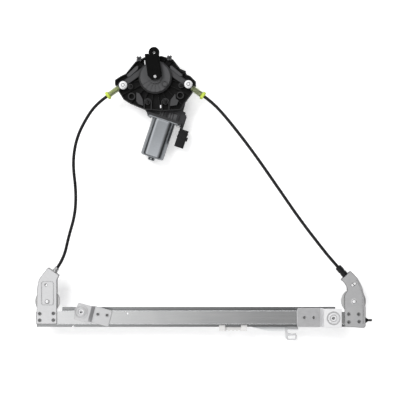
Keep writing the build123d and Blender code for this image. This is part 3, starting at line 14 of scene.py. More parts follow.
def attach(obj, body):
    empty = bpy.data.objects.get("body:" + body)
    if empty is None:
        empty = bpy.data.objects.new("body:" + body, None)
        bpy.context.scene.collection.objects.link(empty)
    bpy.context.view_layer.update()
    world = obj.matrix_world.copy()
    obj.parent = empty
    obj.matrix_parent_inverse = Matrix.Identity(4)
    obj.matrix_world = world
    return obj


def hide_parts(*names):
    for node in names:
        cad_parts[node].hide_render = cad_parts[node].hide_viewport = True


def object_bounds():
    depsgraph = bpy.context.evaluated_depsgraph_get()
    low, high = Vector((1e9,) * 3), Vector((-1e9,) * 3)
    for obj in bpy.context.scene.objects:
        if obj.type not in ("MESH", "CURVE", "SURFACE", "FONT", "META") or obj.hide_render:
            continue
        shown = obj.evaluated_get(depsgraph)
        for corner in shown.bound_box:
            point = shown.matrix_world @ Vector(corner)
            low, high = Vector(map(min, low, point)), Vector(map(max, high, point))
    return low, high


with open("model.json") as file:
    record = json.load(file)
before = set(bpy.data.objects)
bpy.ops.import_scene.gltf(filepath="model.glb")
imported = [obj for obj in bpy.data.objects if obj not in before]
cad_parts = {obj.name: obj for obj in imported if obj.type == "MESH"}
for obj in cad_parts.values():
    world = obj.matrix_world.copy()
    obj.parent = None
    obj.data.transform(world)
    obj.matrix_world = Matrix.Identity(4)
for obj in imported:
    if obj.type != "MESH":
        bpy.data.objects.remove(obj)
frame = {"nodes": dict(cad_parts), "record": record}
CAD_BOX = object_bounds()
MM = 0.001

# Places and sizes that the CAD source states too
RAIL_FRONT = -12.0 * MM
CABLE_Z = -17.0 * MM
CONDUIT_R = 2.8 * MM
DRUM = Vector((-310.0, 420.0, 0.0)) * MM
LEAN = math.radians(18.4)      # how far the motor leans off -Y
LEFT_ROUTE = [
    (-395.4, 387.3), (-411.7, 375.7), (-430.0, 352.0), (-449.0, 314.0), (-455.5, 270.0),
    (-449.3, 222.0), (-451.0, 180.0), (-462.5, 141.0), (-470.7, 103.5), (-482.1, 87.1),
]
RIGHT_ROUTE = [
    (-224.6, 387.3), (-208.3, 375.7), (-179.0, 342.5), (-139.0, 290.5), (-97.5, 231.0),
    (-57.0, 172.0), (-20.0, 124.0), (-3.5, 103.5), (9.8, 88.6),
]


# Camera, floor and light

PHOTO_MM_PER_PX = 1.75
ORIGIN_PX = (332.5, 317.5)     # where the photograph shows the part's origin
IMAGE_PX = 400
CAMERA_HEIGHT = 1.7            # above the rail's front, where that scale holds
SENSOR = 36.0
WHITE = (1.0, 1.0, 1.0, 1.0)


def add_camera():
    """Looks straight at the front of the part, as the photograph does, and gives its X and Y."""
    middle = IMAGE_PX / 2
    x = (middle - ORIGIN_PX[0]) * PHOTO_MM_PER_PX * MM
    y = (ORIGIN_PX[1] - middle) * PHOTO_MM_PER_PX * MM
    width = IMAGE_PX * PHOTO_MM_PER_PX * MM
    data = bpy.data.cameras.new("camera")
    data.sensor_width = SENSOR
    data.lens = SENSOR * CAMERA_HEIGHT / width
    camera = bpy.data.objects.new("camera", data)
    camera.location = (x, y, CAMERA_HEIGHT + RAIL_FRONT)
    bpy.context.scene.collection.objects.link(camera)
    bpy.context.scene.camera = camera
    return x, y


def add_lamp(name, place, size, power, aim):
    """A soft rectangular lamp that leaves no picture of itself in the metal."""
    data = bpy.data.lights.new(name, "AREA")
    data.shape = "RECTANGLE"
    data.size, data.size_y = size
    data.energy = power
    lamp = bpy.data.objects.new(name, data)
    lamp.location = place
    lamp.rotation_euler = (Vector(aim) - Vector(place)).to_track_quat("-Z", "Y").to_euler()
    lamp.visible_glossy = False
    bpy.context.scene.collection.objects.link(lamp)


LAMPS = (      # name, place, size, power and the point that it is aimed at
    ("key", (-1.3, 1.3, 1.5), (0.9, 0.9), 26.0, (-0.25, 0.2, 0.0)),
    ("fill", (1.2, 0.9, 1.3), (1.0, 0.6), 12.0, (-0.2, 0.2, 0.0)),
    ("front", (-0.2, -1.5, 1.2), (1.4, 0.5), 10.0, (-0.2, 0.15, 0.0)),
)
# Tone of the studio across the part, from straight left (0) to straight right (1)
SIDE_TONES = (
    (0.0, 0.12), (0.15, 0.22), (0.25, 1.12), (0.42, 1.12), (0.465, 0.74), (0.495, 0.47), (0.53, 0.31),
    (0.59, 0.21), (0.80, 0.14), (1.0, 0.10),
)
# How much of it is left, from the horizon (0) up to the zenith (1)
HEIGHT_TONES = ((0.0, 0.22), (0.30, 0.28), (0.62, 1.0), (1.0, 1.0))


def tone_ramp(tree, fac, tones):
    """Greys at the given positions along a value from 0 to 1."""
    made = tree.nodes.new("ShaderNodeValToRGB")
    elements = made.color_ramp.elements
    while len(elements) < len(tones):
        elements.new(0.5)
    for element, (position, tone) in zip(elements, tones):
        element.position = position
        element.color = (tone, tone, tone, 1.0)
    tree.links.new(fac, made.inputs["Fac"])
    return made.outputs["Color"]


def add_world():
    """A studio, bright left of overhead, dark low down and to the right, and white to the camera."""
    world = bpy.data.worlds.new("studio")
    bpy.context.scene.world = world
    world.use_nodes = True
    tree = world.node_tree
    tree.nodes.clear()
    place = tree.nodes.new("ShaderNodeTexCoord")
    split = tree.nodes.new("ShaderNodeSeparateXYZ")
    tree.links.new(place.outputs["Generated"], split.inputs[0])
    across = tree.nodes.new("ShaderNodeMapRange")
    across.inputs["From Min"].default_value = -1.0
    tree.links.new(split.outputs["X"], across.inputs["Value"])
    both = tree.nodes.new("ShaderNodeVectorMath")
    both.operation = "MULTIPLY"
    tree.links.new(tone_ramp(tree, across.outputs["Result"], SIDE_TONES), both.inputs[0])
    tree.links.new(tone_ramp(tree, split.outputs["Z"], HEIGHT_TONES), both.inputs[1])
    sky = tree.nodes.new("ShaderNodeBackground")
    tree.links.new(both.outputs[0], sky.inputs["Color"])
    white = tree.nodes.new("ShaderNodeBackground")
    white.inputs["Color"].default_value = WHITE
    mix = tree.nodes.new("ShaderNodeMixShader")
    path = tree.nodes.new("ShaderNodeLightPath")
    out = tree.nodes.new("ShaderNodeOutputWorld")
    tree.links.new(path.outputs["Is Camera Ray"], mix.inputs[0])
    tree.links.new(sky.outputs[0], mix.inputs[1])
    tree.links.new(white.outputs[0], mix.inputs[2])
    tree.links.new(mix.outputs[0], out.inputs["Surface"])


FLOOR_HALF = 6.0
FLOOR_GAP = 0.5 * MM
FLOOR_TONE = (0.86, 0.86, 0.865, 1.0)
FLOOR_GLOW = 0.42


def add_floor(x, y, z):
    """A pale floor that stays white to the camera and keeps the part's soft shadow."""
    mesh = bpy.data.meshes.new("floor")
    signs = [(-1, -1), (1, -1), (1, 1), (-1, 1)]
    corners = [(x + across * FLOOR_HALF, y + up * FLOOR_HALF, z) for across, up in signs]
    mesh.from_pydata(corners, [], [(0, 1, 2, 3)])
    floor = bpy.data.objects.new("floor", mesh)
    bpy.context.scene.collection.objects.link(floor)
    material = bpy.data.materials.new("white_floor")
    material.use_nodes = True
    tree = material.node_tree
    shader = tree.nodes["Principled BSDF"]
    shader.inputs["Base Color"].default_value = FLOOR_TONE
    shader.inputs["Roughness"].default_value = 0.9
    shader.inputs["Specular IOR Level"].default_value = 0.1
    glow = tree.nodes.new("ShaderNodeEmission")
    glow.inputs["Color"].default_value = WHITE
    glow.inputs["Strength"].default_value = FLOOR_GLOW
    both = tree.nodes.new("ShaderNodeAddShader")
    mix = tree.nodes.new("ShaderNodeMixShader")
    path = tree.nodes.new("ShaderNodeLightPath")
    tree.links.new(shader.outputs[0], both.inputs[0])
    tree.links.new(glow.outputs[0], both.inputs[1])
    seen = path.outputs["Is Camera Ray"]
    for ray in ("Is Glossy Ray", "Is Transmission Ray"):
        either = tree.nodes.new("ShaderNodeMath")
        either.operation = "MAXIMUM"
        tree.links.new(seen, either.inputs[0])
        tree.links.new(path.outputs[ray], either.inputs[1])
        seen = either.outputs[0]
    tree.links.new(seen, mix.inputs[0])
    tree.links.new(shader.outputs[0], mix.inputs[1])
    tree.links.new(both.outputs[0], mix.inputs[2])
    tree.links.new(mix.outputs[0], tree.nodes["Material Output"].inputs["Surface"])
    mesh.materials.append(material)


VIEW_X, VIEW_Y = add_camera()
add_world()
add_floor(VIEW_X, VIEW_Y, CAD_BOX[0][2] - FLOOR_GAP)
for lamp_facts in LAMPS:
    add_lamp(*lamp_facts)
bpy.context.scene.view_settings.view_transform = "Standard"


# Shader node groups

def new_group(name, inputs, output="Mask", kind="NodeSocketFloat"):
    """A shader group with its inputs and their defaults, and one output."""
    tree = bpy.data.node_groups.new(name, "ShaderNodeTree")
    for label, value in inputs.items():
        socket = tree.interface.new_socket(name=label, in_out="INPUT", socket_type="NodeSocketFloat")
        socket.default_value = value
    tree.interface.new_socket(name=output, in_out="OUTPUT", socket_type=kind)
    entry = tree.nodes.new("NodeGroupInput")
    leave = tree.nodes.new("NodeGroupOutput")
    return tree, entry.outputs, leave.inputs[output]


def node(tree, kind, **settings):
    """A new shader node with its settings."""
    made = tree.nodes.new(kind)
    for key, value in settings.items():
        setattr(made, key, value)
    return made


def maths(tree, operation, first, second=None):
    """A Math node between two sockets or numbers."""
    made = node(tree, "ShaderNodeMath", operation=operation)
    for slot, value in zip(made.inputs, (first, second)):
        if value is None:
            continue
        if isinstance(value, bpy.types.NodeSocket):
            tree.links.new(value, slot)
        else:
            slot.default_value = value
    return made.outputs[0]


def part_place(tree):
    """The point on the part, in its own frame."""
    return node(tree, "ShaderNodeTexCoord").outputs["Object"]


def part_height(tree):
    """How far to the front the point lies."""
    split = node(tree, "ShaderNodeSeparateXYZ")
    tree.links.new(part_place(tree), split.inputs[0])
    return split.outputs["Z"]


def facing(tree):
    """How far the face looks to the front: 1 straight, 0 sideways, -1 to the back."""
    split = node(tree, "ShaderNodeSeparateXYZ")
    tree.links.new(node(tree, "ShaderNodeNewGeometry").outputs["Normal"], split.inputs[0])
    return split.outputs["Z"]


def noise_at(tree, place, scale, detail=2.0, **settings):
    """Noise at a place. The scale is a socket or a number."""
    made = node(tree, "ShaderNodeTexNoise", noise_dimensions="3D")
    tree.links.new(place, made.inputs["Vector"])
    for label, value in {"Scale": scale, "Detail": detail, **settings}.items():
        if isinstance(value, bpy.types.NodeSocket):
            tree.links.new(value, made.inputs[label])
        else:
            made.inputs[label].default_value = value
    return made.outputs["Fac"]


def contrasted(tree, value, contrast):
    """A value spread about its middle, 0.5."""
    centred = maths(tree, "SUBTRACT", value, 0.5)
    return maths(tree, "ADD", maths(tree, "MULTIPLY", centred, contrast), 0.5)


def eased(tree, value, low, high, floor=None):
    """Rises smoothly from 0, or from the floor, to 1 between two values."""
    made = node(tree, "ShaderNodeMapRange", interpolation_type="SMOOTHSTEP")
    tree.links.new(value, made.inputs["Value"])
    tree.links.new(low, made.inputs["From Min"])
    tree.links.new(high, made.inputs["From Max"])
    if floor is not None:
        tree.links.new(floor, made.inputs["To Min"])
    return made.outputs["Result"]


def rounded_normal(tree, radius, samples):
    """The normal as it would be with edges rounded to a radius."""
    made = node(tree, "ShaderNodeBevel", samples=samples)
    tree.links.new(radius, made.inputs["Radius"])
    return made.outputs[0]


def build_streaks():
    """Rolling and drawing marks: noise that is stretched along X."""
    tree, given, result = new_group("rolling_marks", {"Scale": 600.0, "Stretch": 0.02, "Contrast": 1.0})
    factors = node(tree, "ShaderNodeCombineXYZ")
    tree.links.new(maths(tree, "MULTIPLY", given["Scale"], given["Stretch"]), factors.inputs["X"])
    tree.links.new(given["Scale"], factors.inputs["Y"])
    tree.links.new(given["Scale"], factors.inputs["Z"])
    squeezed = node(tree, "ShaderNodeVectorMath", operation="MULTIPLY")
    tree.links.new(part_place(tree), squeezed.inputs[0])
    tree.links.new(factors.outputs[0], squeezed.inputs[1])
    noise = noise_at(tree, squeezed.outputs[0], 1.0, 4.0)
    tree.links.new(contrasted(tree, noise, given["Contrast"]), result)
    return tree


def build_clouds():
    """Soft patches, as on plated sheet that has been handled."""
    tree, given, result = new_group(
        "cloudy_patches", {"Scale": 30.0, "Detail": 3.0, "Contrast": 1.0, "Warp": 0.4})
    noise = noise_at(tree, part_place(tree), given["Scale"], given["Detail"], Distortion=given["Warp"])
    tree.links.new(contrasted(tree, noise, given["Contrast"]), result)
    return tree


def build_grain():
    """Fine surface grain, given as a normal, over edges that are slightly rounded."""
    tree, given, result = new_group(
        "fine_grain", {"Scale": 2500.0, "Strength": 0.2, "Depth": 0.0002, "Edge Radius": 0.0003},
        "Normal", "NodeSocketVector")
    bump = node(tree, "ShaderNodeBump")
    tree.links.new(given["Strength"], bump.inputs["Strength"])
    tree.links.new(given["Depth"], bump.inputs["Distance"])
    tree.links.new(noise_at(tree, part_place(tree), given["Scale"]), bump.inputs["Height"])
    tree.links.new(rounded_normal(tree, given["Edge Radius"], 4), bump.inputs["Normal"])
    tree.links.new(bump.outputs[0], result)
    return tree


def build_edges():
    """A mask of edges, where finish is worn and where highlights are painted as light catches them."""
    tree, given, result = new_group("worn_and_highlit_edges", {"Radius": 0.0006, "Gain": 4.0})
    dot = node(tree, "ShaderNodeVectorMath", operation="DOT_PRODUCT")
    tree.links.new(rounded_normal(tree, given["Radius"], 4), dot.inputs[0])
    tree.links.new(node(tree, "ShaderNodeNewGeometry").outputs["Normal"], dot.inputs[1])
    bent = maths(tree, "SUBTRACT", 1.0, dot.outputs["Value"])
    tree.links.new(maths(tree, "MINIMUM", maths(tree, "MULTIPLY", bent, given["Gain"]), 1.0), result)
    return tree


DUST_ROUGHNESS = 0.7       # of its noise
DUST_ON_SIDES = 0.15       # how much settles on faces that don't look to the front


def build_dust():
    """Fine pale specks and film, thicker on faces that look to the front."""
    tree, given, result = new_group("light_dust", {"Scale": 900.0, "Amount": 0.1})
    noise = noise_at(tree, part_place(tree), given["Scale"], 6.0, Roughness=DUST_ROUGHNESS)
    specks = maths(tree, "POWER", noise, 2.0)
    settled = maths(tree, "MULTIPLY", specks, maths(tree, "MAXIMUM", facing(tree), DUST_ON_SIDES))
    tree.links.new(maths(tree, "MULTIPLY", settled, given["Amount"]), result)
    return tree


def build_raised():
    """A mask of faces that look to the front, stronger from one height on the part to another."""
    tree, given, result = new_group("raised_faces", {"Low": -0.016, "High": -0.009, "Floor": 0.2})
    height = eased(tree, part_height(tree), given["Low"], given["High"], given["Floor"])
    front = maths(tree, "POWER", maths(tree, "MAXIMUM", facing(tree), 0.0), 3.0)
    tree.links.new(maths(tree, "MULTIPLY", front, height), result)
    return tree


def build_sides():
    """A mask of the faces and rounded edges that turn away from the front or the back."""
    tree, given, result = new_group("turned_sides", {"Radius": 0.0016, "Flat": 0.998, "Steep": 0.92})
    split = node(tree, "ShaderNodeSeparateXYZ")
    tree.links.new(rounded_normal(tree, given["Radius"], 6), split.inputs[0])
    turn = maths(tree, "ABSOLUTE", split.outputs["Z"])
    tree.links.new(eased(tree, turn, given["Flat"], given["Steep"]), result)
    return tree


def build_heights():
    """A mask that rises from one height on the part to another."""
    tree, given, result = new_group("heights", {"Low": -0.020, "High": -0.018})
    tree.links.new(eased(tree, part_height(tree), given["Low"], given["High"]), result)
    return tree


ROLLING = build_streaks()
CLOUDS = build_clouds()
GRAIN = build_grain()
EDGES = build_edges()
DUST = build_dust()
RAISED = build_raised()
SIDES = build_sides()
HEIGHTS = build_heights()


# Materials

def new_material(name):
    material = bpy.data.materials.new(name)
    material.use_nodes = True
    tree = material.node_tree
    return material, tree, tree.nodes["Principled BSDF"]


def place_group(tree, group, **values):
    """A group in a material, with its inputs set. An underscore stands for a space."""
    made = node(tree, "ShaderNodeGroup", node_tree=group)
    for key, value in values.items():
        made.inputs[key.replace("_", " ")].default_value = value
    return made.outputs[0]


def ramp(tree, fac, low, high, start=0.0, end=1.0):
    """A colour or a grey that runs from one value to another as the mask rises."""
    if isinstance(low, float):
        made = node(tree, "ShaderNodeMapRange")
        made.inputs["From Min"].default_value = start
        made.inputs["From Max"].default_value = end
        made.inputs["To Min"].default_value = low
        made.inputs["To Max"].default_value = high
        tree.links.new(fac, made.inputs["Value"])
        return made.outputs["Result"]
    made = node(tree, "ShaderNodeValToRGB")
    first, last = made.color_ramp.elements
    first.position, last.position = start, end
    first.color = (*low, 1.0)
    last.color = (*high, 1.0)
    tree.links.new(fac, made.inputs["Fac"])
    return made.outputs["Color"]


def blend_colour(tree, mask, below, above):
    """One colour over another by a mask. Either is a socket or three numbers."""
    made = node(tree, "ShaderNodeMix", data_type="RGBA")
    tree.links.new(mask, made.inputs["Factor"])
    for slot, value in ((made.inputs["A"], below), (made.inputs["B"], above)):
        if isinstance(value, bpy.types.NodeSocket):
            tree.links.new(value, slot)
        else:
            slot.default_value = (*value, 1.0)
    return made.outputs["Result"]


def times(tone, factor):
    """A tone made darker or paler."""
    return tuple(min(1.0, value * factor) for value in tone)


# Tone and metalness of the painted highlight on raised pads
PAD_HIGHLIGHT_TONE = (0.96, 0.96, 0.97)
PAD_HIGHLIGHT_METAL = 0.25
LIP_SHADE_SHARE = 0.52       # how much of a sheet's tone its lowest flanges keep, where they are painted darker as shade
DUST_TONE = (0.45, 0.44, 0.42)


def sheet_metal(name, dark, light, rough, stretch=0.03, patch=26.0, grain=0.10, bend=0.0005,
                metal=1.0, painted_side_share=0.72, highlit_pads=None, shaded_lips=None):
    """Zinc-coated sheet with faint rolling marks and patches.

    One share sets the tone painted on its sides, edges and bends: below 1 that is painted shade, above 1
    a painted highlight. Heights may be given between which its raised pads are painted paler, as a
    painted highlight, and below which its lowest flanges are painted darker, as painted shade.
    """
    material, tree, shader = new_material(name)
    marks = place_group(tree, ROLLING, Scale=450.0, Stretch=stretch, Contrast=0.8)
    clouds = place_group(tree, CLOUDS, Scale=patch, Detail=3.0, Contrast=1.0, Warp=0.6)
    mixed = maths(tree, "ADD", maths(tree, "MULTIPLY", marks, 0.5), maths(tree, "MULTIPLY", clouds, 0.5))
    colour = ramp(tree, mixed, dark, light, 0.3, 0.7)
    # Raised pads painted paler and less metallic, as a painted highlight
    if highlit_pads:
        painted_light_mask = place_group(tree, RAISED, Low=highlit_pads[0], High=highlit_pads[1], Floor=0.0)
        colour = blend_colour(tree, painted_light_mask, colour, PAD_HIGHLIGHT_TONE)
        tree.links.new(ramp(tree, painted_light_mask, metal, PAD_HIGHLIGHT_METAL), shader.inputs["Metallic"])
    else:
        shader.inputs["Metallic"].default_value = metal
    # Sides, edges and bends painted darker as shade, and paler as highlights where the share is above 1
    side = place_group(tree, SIDES, Radius=bend * 1.2, Flat=0.998, Steep=0.90)
    colour = blend_colour(tree, side, colour, times(dark, painted_side_share))
    # The lowest flanges painted darker, as shade
    if shaded_lips:
        high = place_group(tree, HEIGHTS, Low=shaded_lips[0], High=shaded_lips[1])
        colour = blend_colour(tree, high, times(dark, LIP_SHADE_SHARE), colour)
    tree.links.new(colour, shader.inputs["Base Color"])
    tree.links.new(ramp(tree, mixed, rough[0], rough[1], 0.2, 0.8), shader.inputs["Roughness"])
    normal = place_group(tree, GRAIN, Scale=1800.0, Strength=grain, Depth=0.0001, Edge_Radius=bend)
    tree.links.new(normal, shader.inputs["Normal"])
    return material


def moulding(name, dark, light, rough, grain=0.25, dust=0.06, edge_tone=1.6, level=0.5, bend=0.0005,
             painted_lit_tone=None, low=-0.016, high=-0.009, low_share=0.2):
    """Moulded plastic: fine texture, slight tone changes, edges painted in a tone of their own, mostly
    paler, as wear and as highlights, and a little dust.

    A paler tone can be painted on its front faces from the height low up to high, as a painted
    highlight, and low_share of it lies on the lower ones, which are left darker as painted shade.
    """
    material, tree, shader = new_material(name)
    clouds = place_group(tree, CLOUDS, Scale=45.0, Detail=4.0, Contrast=1.5, Warp=0.3)
    colour = ramp(tree, clouds, dark, light, 0.2, 0.8)
    # Painted highlight on the front faces of its raised parts, painted shade on its lower ones
    if painted_lit_tone:
        painted_light_mask = place_group(tree, RAISED, Low=low, High=high, Floor=low_share)
        colour = blend_colour(tree, painted_light_mask, colour, painted_lit_tone)
    # Edges painted in their own tone, as wear and as painted highlights
    edge = place_group(tree, EDGES, Radius=bend, Gain=3.0)
    colour = blend_colour(tree, edge, colour, times(light, edge_tone))
    film = place_group(tree, DUST, Scale=1300.0, Amount=dust)
    tree.links.new(blend_colour(tree, film, colour, DUST_TONE), shader.inputs["Base Color"])
    tree.links.new(ramp(tree, clouds, rough[0], rough[1], 0.25, 0.75), shader.inputs["Roughness"])
    shader.inputs["Specular IOR Level"].default_value = level
    normal = place_group(tree, GRAIN, Scale=2600.0, Strength=grain, Depth=0.0001, Edge_Radius=bend)
    tree.links.new(normal, shader.inputs["Normal"])
    return material


def stranded_wire(name):
    """Wire rope: fine strands with dark grease between them."""
    material, tree, shader = new_material(name)
    marks = place_group(tree, ROLLING, Scale=3000.0, Stretch=0.35, Contrast=2.2)
    colour = ramp(tree, marks, (0.16, 0.16, 0.15), (0.62, 0.62, 0.60), 0.25, 0.7)
    tree.links.new(colour, shader.inputs["Base Color"])
    tree.links.new(ramp(tree, marks, 0.5, 0.28), shader.inputs["Roughness"])
    shader.inputs["Metallic"].default_value = 1.0
    normal = place_group(tree, GRAIN, Scale=3000.0, Strength=0.6, Depth=0.0002, Edge_Radius=0.0001)
    tree.links.new(normal, shader.inputs["Normal"])
    return material


def turned_metal(name, dark, light, rough, metal=1.0):
    """Small turned, pressed or plated parts, painted a little paler on their edges, as wear and as
    highlights.
    """
    material, tree, shader = new_material(name)
    clouds = place_group(tree, CLOUDS, Scale=220.0, Detail=3.0, Contrast=1.8, Warp=0.5)
    colour = ramp(tree, clouds, dark, light, 0.2, 0.8)
    edge = place_group(tree, EDGES, Radius=0.0004, Gain=4.0)
    tree.links.new(blend_colour(tree, edge, colour, times(light, 1.15)), shader.inputs["Base Color"])
    tree.links.new(ramp(tree, clouds, rough[0], rough[1], 0.2, 0.8), shader.inputs["Roughness"])
    shader.inputs["Metallic"].default_value = metal
    normal = place_group(tree, GRAIN, Scale=3500.0, Strength=0.12, Depth=0.0001, Edge_Radius=0.0003)
    tree.links.new(normal, shader.inputs["Normal"])
    return material


BLACK = ((0.004, 0.004, 0.005), (0.010, 0.010, 0.011))     # dark and light of black plastic
# Side shares below 1 paint shade on the sheets' sides and bends, above 1 they paint highlights; the
# plastics' paler front tones are painted highlights
FINISHES = {
    "rail_steel": sheet_metal("rail_steel_look", (0.72, 0.73, 0.74), (0.84, 0.84, 0.84), (0.17, 0.25),
                              patch=14.0, grain=0.03, bend=0.0012, painted_side_share=1.25, shaded_lips=(-0.0204, -0.0185)),
    "bracket_steel": sheet_metal("bracket_steel_look", (0.80, 0.80, 0.81), (0.90, 0.90, 0.91), (0.32, 0.42),
                                 stretch=0.5, patch=60.0, metal=0.80, painted_side_share=0.22, bend=0.0018),
    "strap_steel": sheet_metal("strap_steel_look", (0.76, 0.76, 0.77), (0.87, 0.87, 0.88), (0.30, 0.42),
                               stretch=0.4, patch=70.0, metal=0.80, painted_side_share=1.0, bend=0.0014),
    "motor_steel": sheet_metal("motor_steel_look", (0.50, 0.525, 0.555), (0.61, 0.635, 0.665), (0.26, 0.38),
                               stretch=0.6, patch=40.0, bend=0.0012, painted_side_share=0.40),
    "fastener_zinc": turned_metal("fastener_zinc_look", (0.93, 0.93, 0.94), (0.98, 0.98, 0.99),
                                  (0.34, 0.42), metal=0.25),
    "axle_steel": turned_metal("axle_steel_look", (0.86, 0.86, 0.87), (0.97, 0.97, 0.98), (0.18, 0.30)),
    "spring_steel": turned_metal("spring_steel_look", (0.56, 0.60, 0.42), (0.78, 0.82, 0.64), (0.28, 0.40)),
    "dog_zinc": turned_metal("dog_zinc_look", (0.50, 0.50, 0.52), (0.72, 0.72, 0.74), (0.35, 0.5)),
    "core_steel": turned_metal("core_steel_look", (0.18, 0.18, 0.19), (0.34, 0.34, 0.35), (0.4, 0.55)),
    "copper": turned_metal("copper_look", (0.62, 0.28, 0.13), (0.88, 0.46, 0.24), (0.25, 0.4)),
    "bronze": turned_metal("bronze_look", (0.46, 0.31, 0.14), (0.68, 0.48, 0.24), (0.4, 0.55)),
    "terminal_brass": turned_metal("terminal_brass_look", (0.70, 0.60, 0.38), (0.92, 0.84, 0.62),
                                   (0.2, 0.35)),
    "socket_metal": turned_metal("socket_metal_look", (0.72, 0.72, 0.72), (0.90, 0.90, 0.90), (0.3, 0.45)),
    "housing_plastic": moulding("housing_plastic_look", (0.002, 0.002, 0.002), (0.005, 0.005, 0.005),
                                (0.30, 0.44), grain=0.30, dust=0.012, edge_tone=7.0, level=0.18,
                                painted_lit_tone=(0.084, 0.084, 0.087), low_share=0.03),
    "cover_plastic": moulding("cover_plastic_look", (0.001, 0.001, 0.001), (0.003, 0.003, 0.003),
                              (0.40, 0.52), grain=0.20, dust=0.004, edge_tone=5.0, level=0.12),
    "connector_plastic": moulding("connector_plastic_look", *BLACK, (0.34, 0.46), grain=0.20, dust=0.02,
                                  edge_tone=3.0, level=0.3),
    "conduit_sheath": moulding("conduit_sheath_look", (0.002, 0.002, 0.003), (0.006, 0.006, 0.007),
                               (0.26, 0.38), grain=0.30, dust=0.01, edge_tone=1.2, level=0.45),
    "sleeve_plastic": moulding("sleeve_plastic_look", *BLACK, (0.34, 0.46), grain=0.25, dust=0.02,
                               edge_tone=2.2, level=0.35),
    "rubber": moulding("rubber_look", (0.004, 0.004, 0.004), (0.010, 0.010, 0.010),
                       (0.55, 0.70), grain=0.4, dust=0.05, edge_tone=1.5, level=0.2),
    "carbon": moulding("carbon_look", (0.02, 0.02, 0.02), (0.04, 0.04, 0.04), (0.5, 0.6)),
    "ferrite": moulding("ferrite_look", (0.05, 0.05, 0.055), (0.08, 0.08, 0.085), (0.5, 0.65)),
    "pulley_plastic": moulding("pulley_plastic_look", (0.50, 0.50, 0.50), (0.62, 0.62, 0.62),
                               (0.30, 0.42), grain=0.15, dust=0.08, edge_tone=1.1),
    "slider_plastic": moulding("slider_plastic_look", (0.72, 0.71, 0.70), (0.84, 0.83, 0.82),
                               (0.26, 0.38), grain=0.15, dust=0.06, edge_tone=1.08),
    "wheel_plastic": moulding("wheel_plastic_look", (0.62, 0.61, 0.57), (0.76, 0.75, 0.71),
                              (0.30, 0.42), grain=0.15, dust=0.04, edge_tone=1.1),
    "clip_plastic": moulding("clip_plastic_look", (0.54, 0.54, 0.55), (0.66, 0.66, 0.67),
                             (0.20, 0.32), grain=0.10, dust=0.05, edge_tone=0.88),
    "tensioner_plastic": moulding("tensioner_plastic_look", (0.50, 0.64, 0.07), (0.66, 0.80, 0.12),
                                  (0.26, 0.38), grain=0.12, dust=0.03, edge_tone=1.1),
    "wire_rope": stranded_wire("wire_rope_look"),
}

# Nodes whose look differs from the rest of their slot
FINISHES_BY_NODE = {
    # The gearbox's raised front faces are painted paler, as a highlight
    "gearbox": moulding("gearbox_plastic_look", *BLACK, (0.30, 0.44), grain=0.30, dust=0.03,
                        edge_tone=3.5, level=0.3, painted_lit_tone=(0.034, 0.034, 0.036), low=-0.033, high=-0.027),
    "housing_screws": turned_metal("black_screw_look", (0.02, 0.02, 0.02), (0.05, 0.05, 0.05), (0.35, 0.5)),
    "lift_plate": sheet_metal("pale_plate_look", (0.82, 0.83, 0.84), (0.88, 0.89, 0.90), (0.42, 0.55),
                              stretch=0.4, patch=70.0, metal=0.0, painted_side_share=0.8),
    # The right mount bracket's raised pad and sides are painted paler, as highlights
    "right_mount_bracket": sheet_metal("highlit_strap_look", (0.58, 0.58, 0.59), (0.72, 0.72, 0.73),
                                       (0.30, 0.42), stretch=0.4, patch=70.0, metal=0.60, painted_side_share=1.7,
                                       bend=0.0014, highlit_pads=(-0.008, -0.004)),
}
GREY_CASE = moulding("grey_case_look", (0.085, 0.085, 0.088), (0.125, 0.125, 0.130), (0.30, 0.44),
                     grain=0.30, dust=0.03, edge_tone=3.0, level=0.3)
# Dark grey painted shade: clinch cups, nut threads, and rings round pin heads and studs
PAINTED_SHADE = turned_metal("painted_shade_look", (0.20, 0.20, 0.20), (0.34, 0.34, 0.34), (0.30, 0.45))


def dress_nodes():
    """Gives each CAD node the finish of its slot, or its own."""
    for entry in frame["record"]["subparts"]:
        mesh = frame["nodes"][entry["node"]].data
        mesh.materials.clear()
        mesh.materials.append(FINISHES_BY_NODE.get(entry["node"], FINISHES[entry["material_slot"]]))


dress_nodes()


# Pieces that carry the finer shapes. Profiles and outlines are in millimetres.

def add_piece(name, fill, finish, replaces=(), sharp=40.0):
    """A fixed mesh piece that fill(bm) makes, smooth apart from edges sharper than an angle."""
    bm = bmesh.new()
    fill(bm)
    bmesh.ops.recalc_face_normals(bm, faces=bm.faces)
    limit = math.radians(sharp)
    for face in bm.faces:
        face.smooth = True
    for edge in bm.edges:
        edge.smooth = edge.calc_face_angle(0.0) < limit
    mesh = bpy.data.meshes.new(name)
    bm.to_mesh(mesh)
    bm.free()
    mesh.materials.append(finish)
    made = bpy.data.objects.new(name, mesh)
    bpy.context.scene.collection.objects.link(made)
    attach(made, "root")
    if replaces:
        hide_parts(*replaces)


def at(x, y, z, turn=0.0, stretch=(1.0, 1.0, 1.0)):
    """A place in millimetres, stretched and then turned about Z."""
    return (Matrix.Translation(Vector((x, y, z)) * MM) @ Matrix.Rotation(turn, 4, "Z")
            @ Matrix.Diagonal((*stretch, 1.0)))


def join_rings(bm, rings):
    """Faces between rings of points. A ring of one point closes the shape."""
    for low, high in zip(rings, rings[1:]):
        count = max(len(low), len(high))
        for i in range(count):
            j = (i + 1) % count
            if len(low) == 1:
                bm.faces.new((low[0], high[j], high[i]))
            elif len(high) == 1:
                bm.faces.new((low[i], low[j], high[0]))
            else:
                bm.faces.new((low[i], low[j], high[j], high[i]))


def turned(bm, profile, place, steps=32):
    """Turns a profile of radii and heights about the axis of its place."""
    rings = []
    for radius, height in profile:
        count = steps if radius > 0 else 1
        angles = [math.tau * i / count for i in range(count)]
        points = [Vector((radius * math.cos(a), radius * math.sin(a), height)) * MM for a in angles]
        rings.append([bm.verts.new(place @ point) for point in points])
    join_rings(bm, rings)


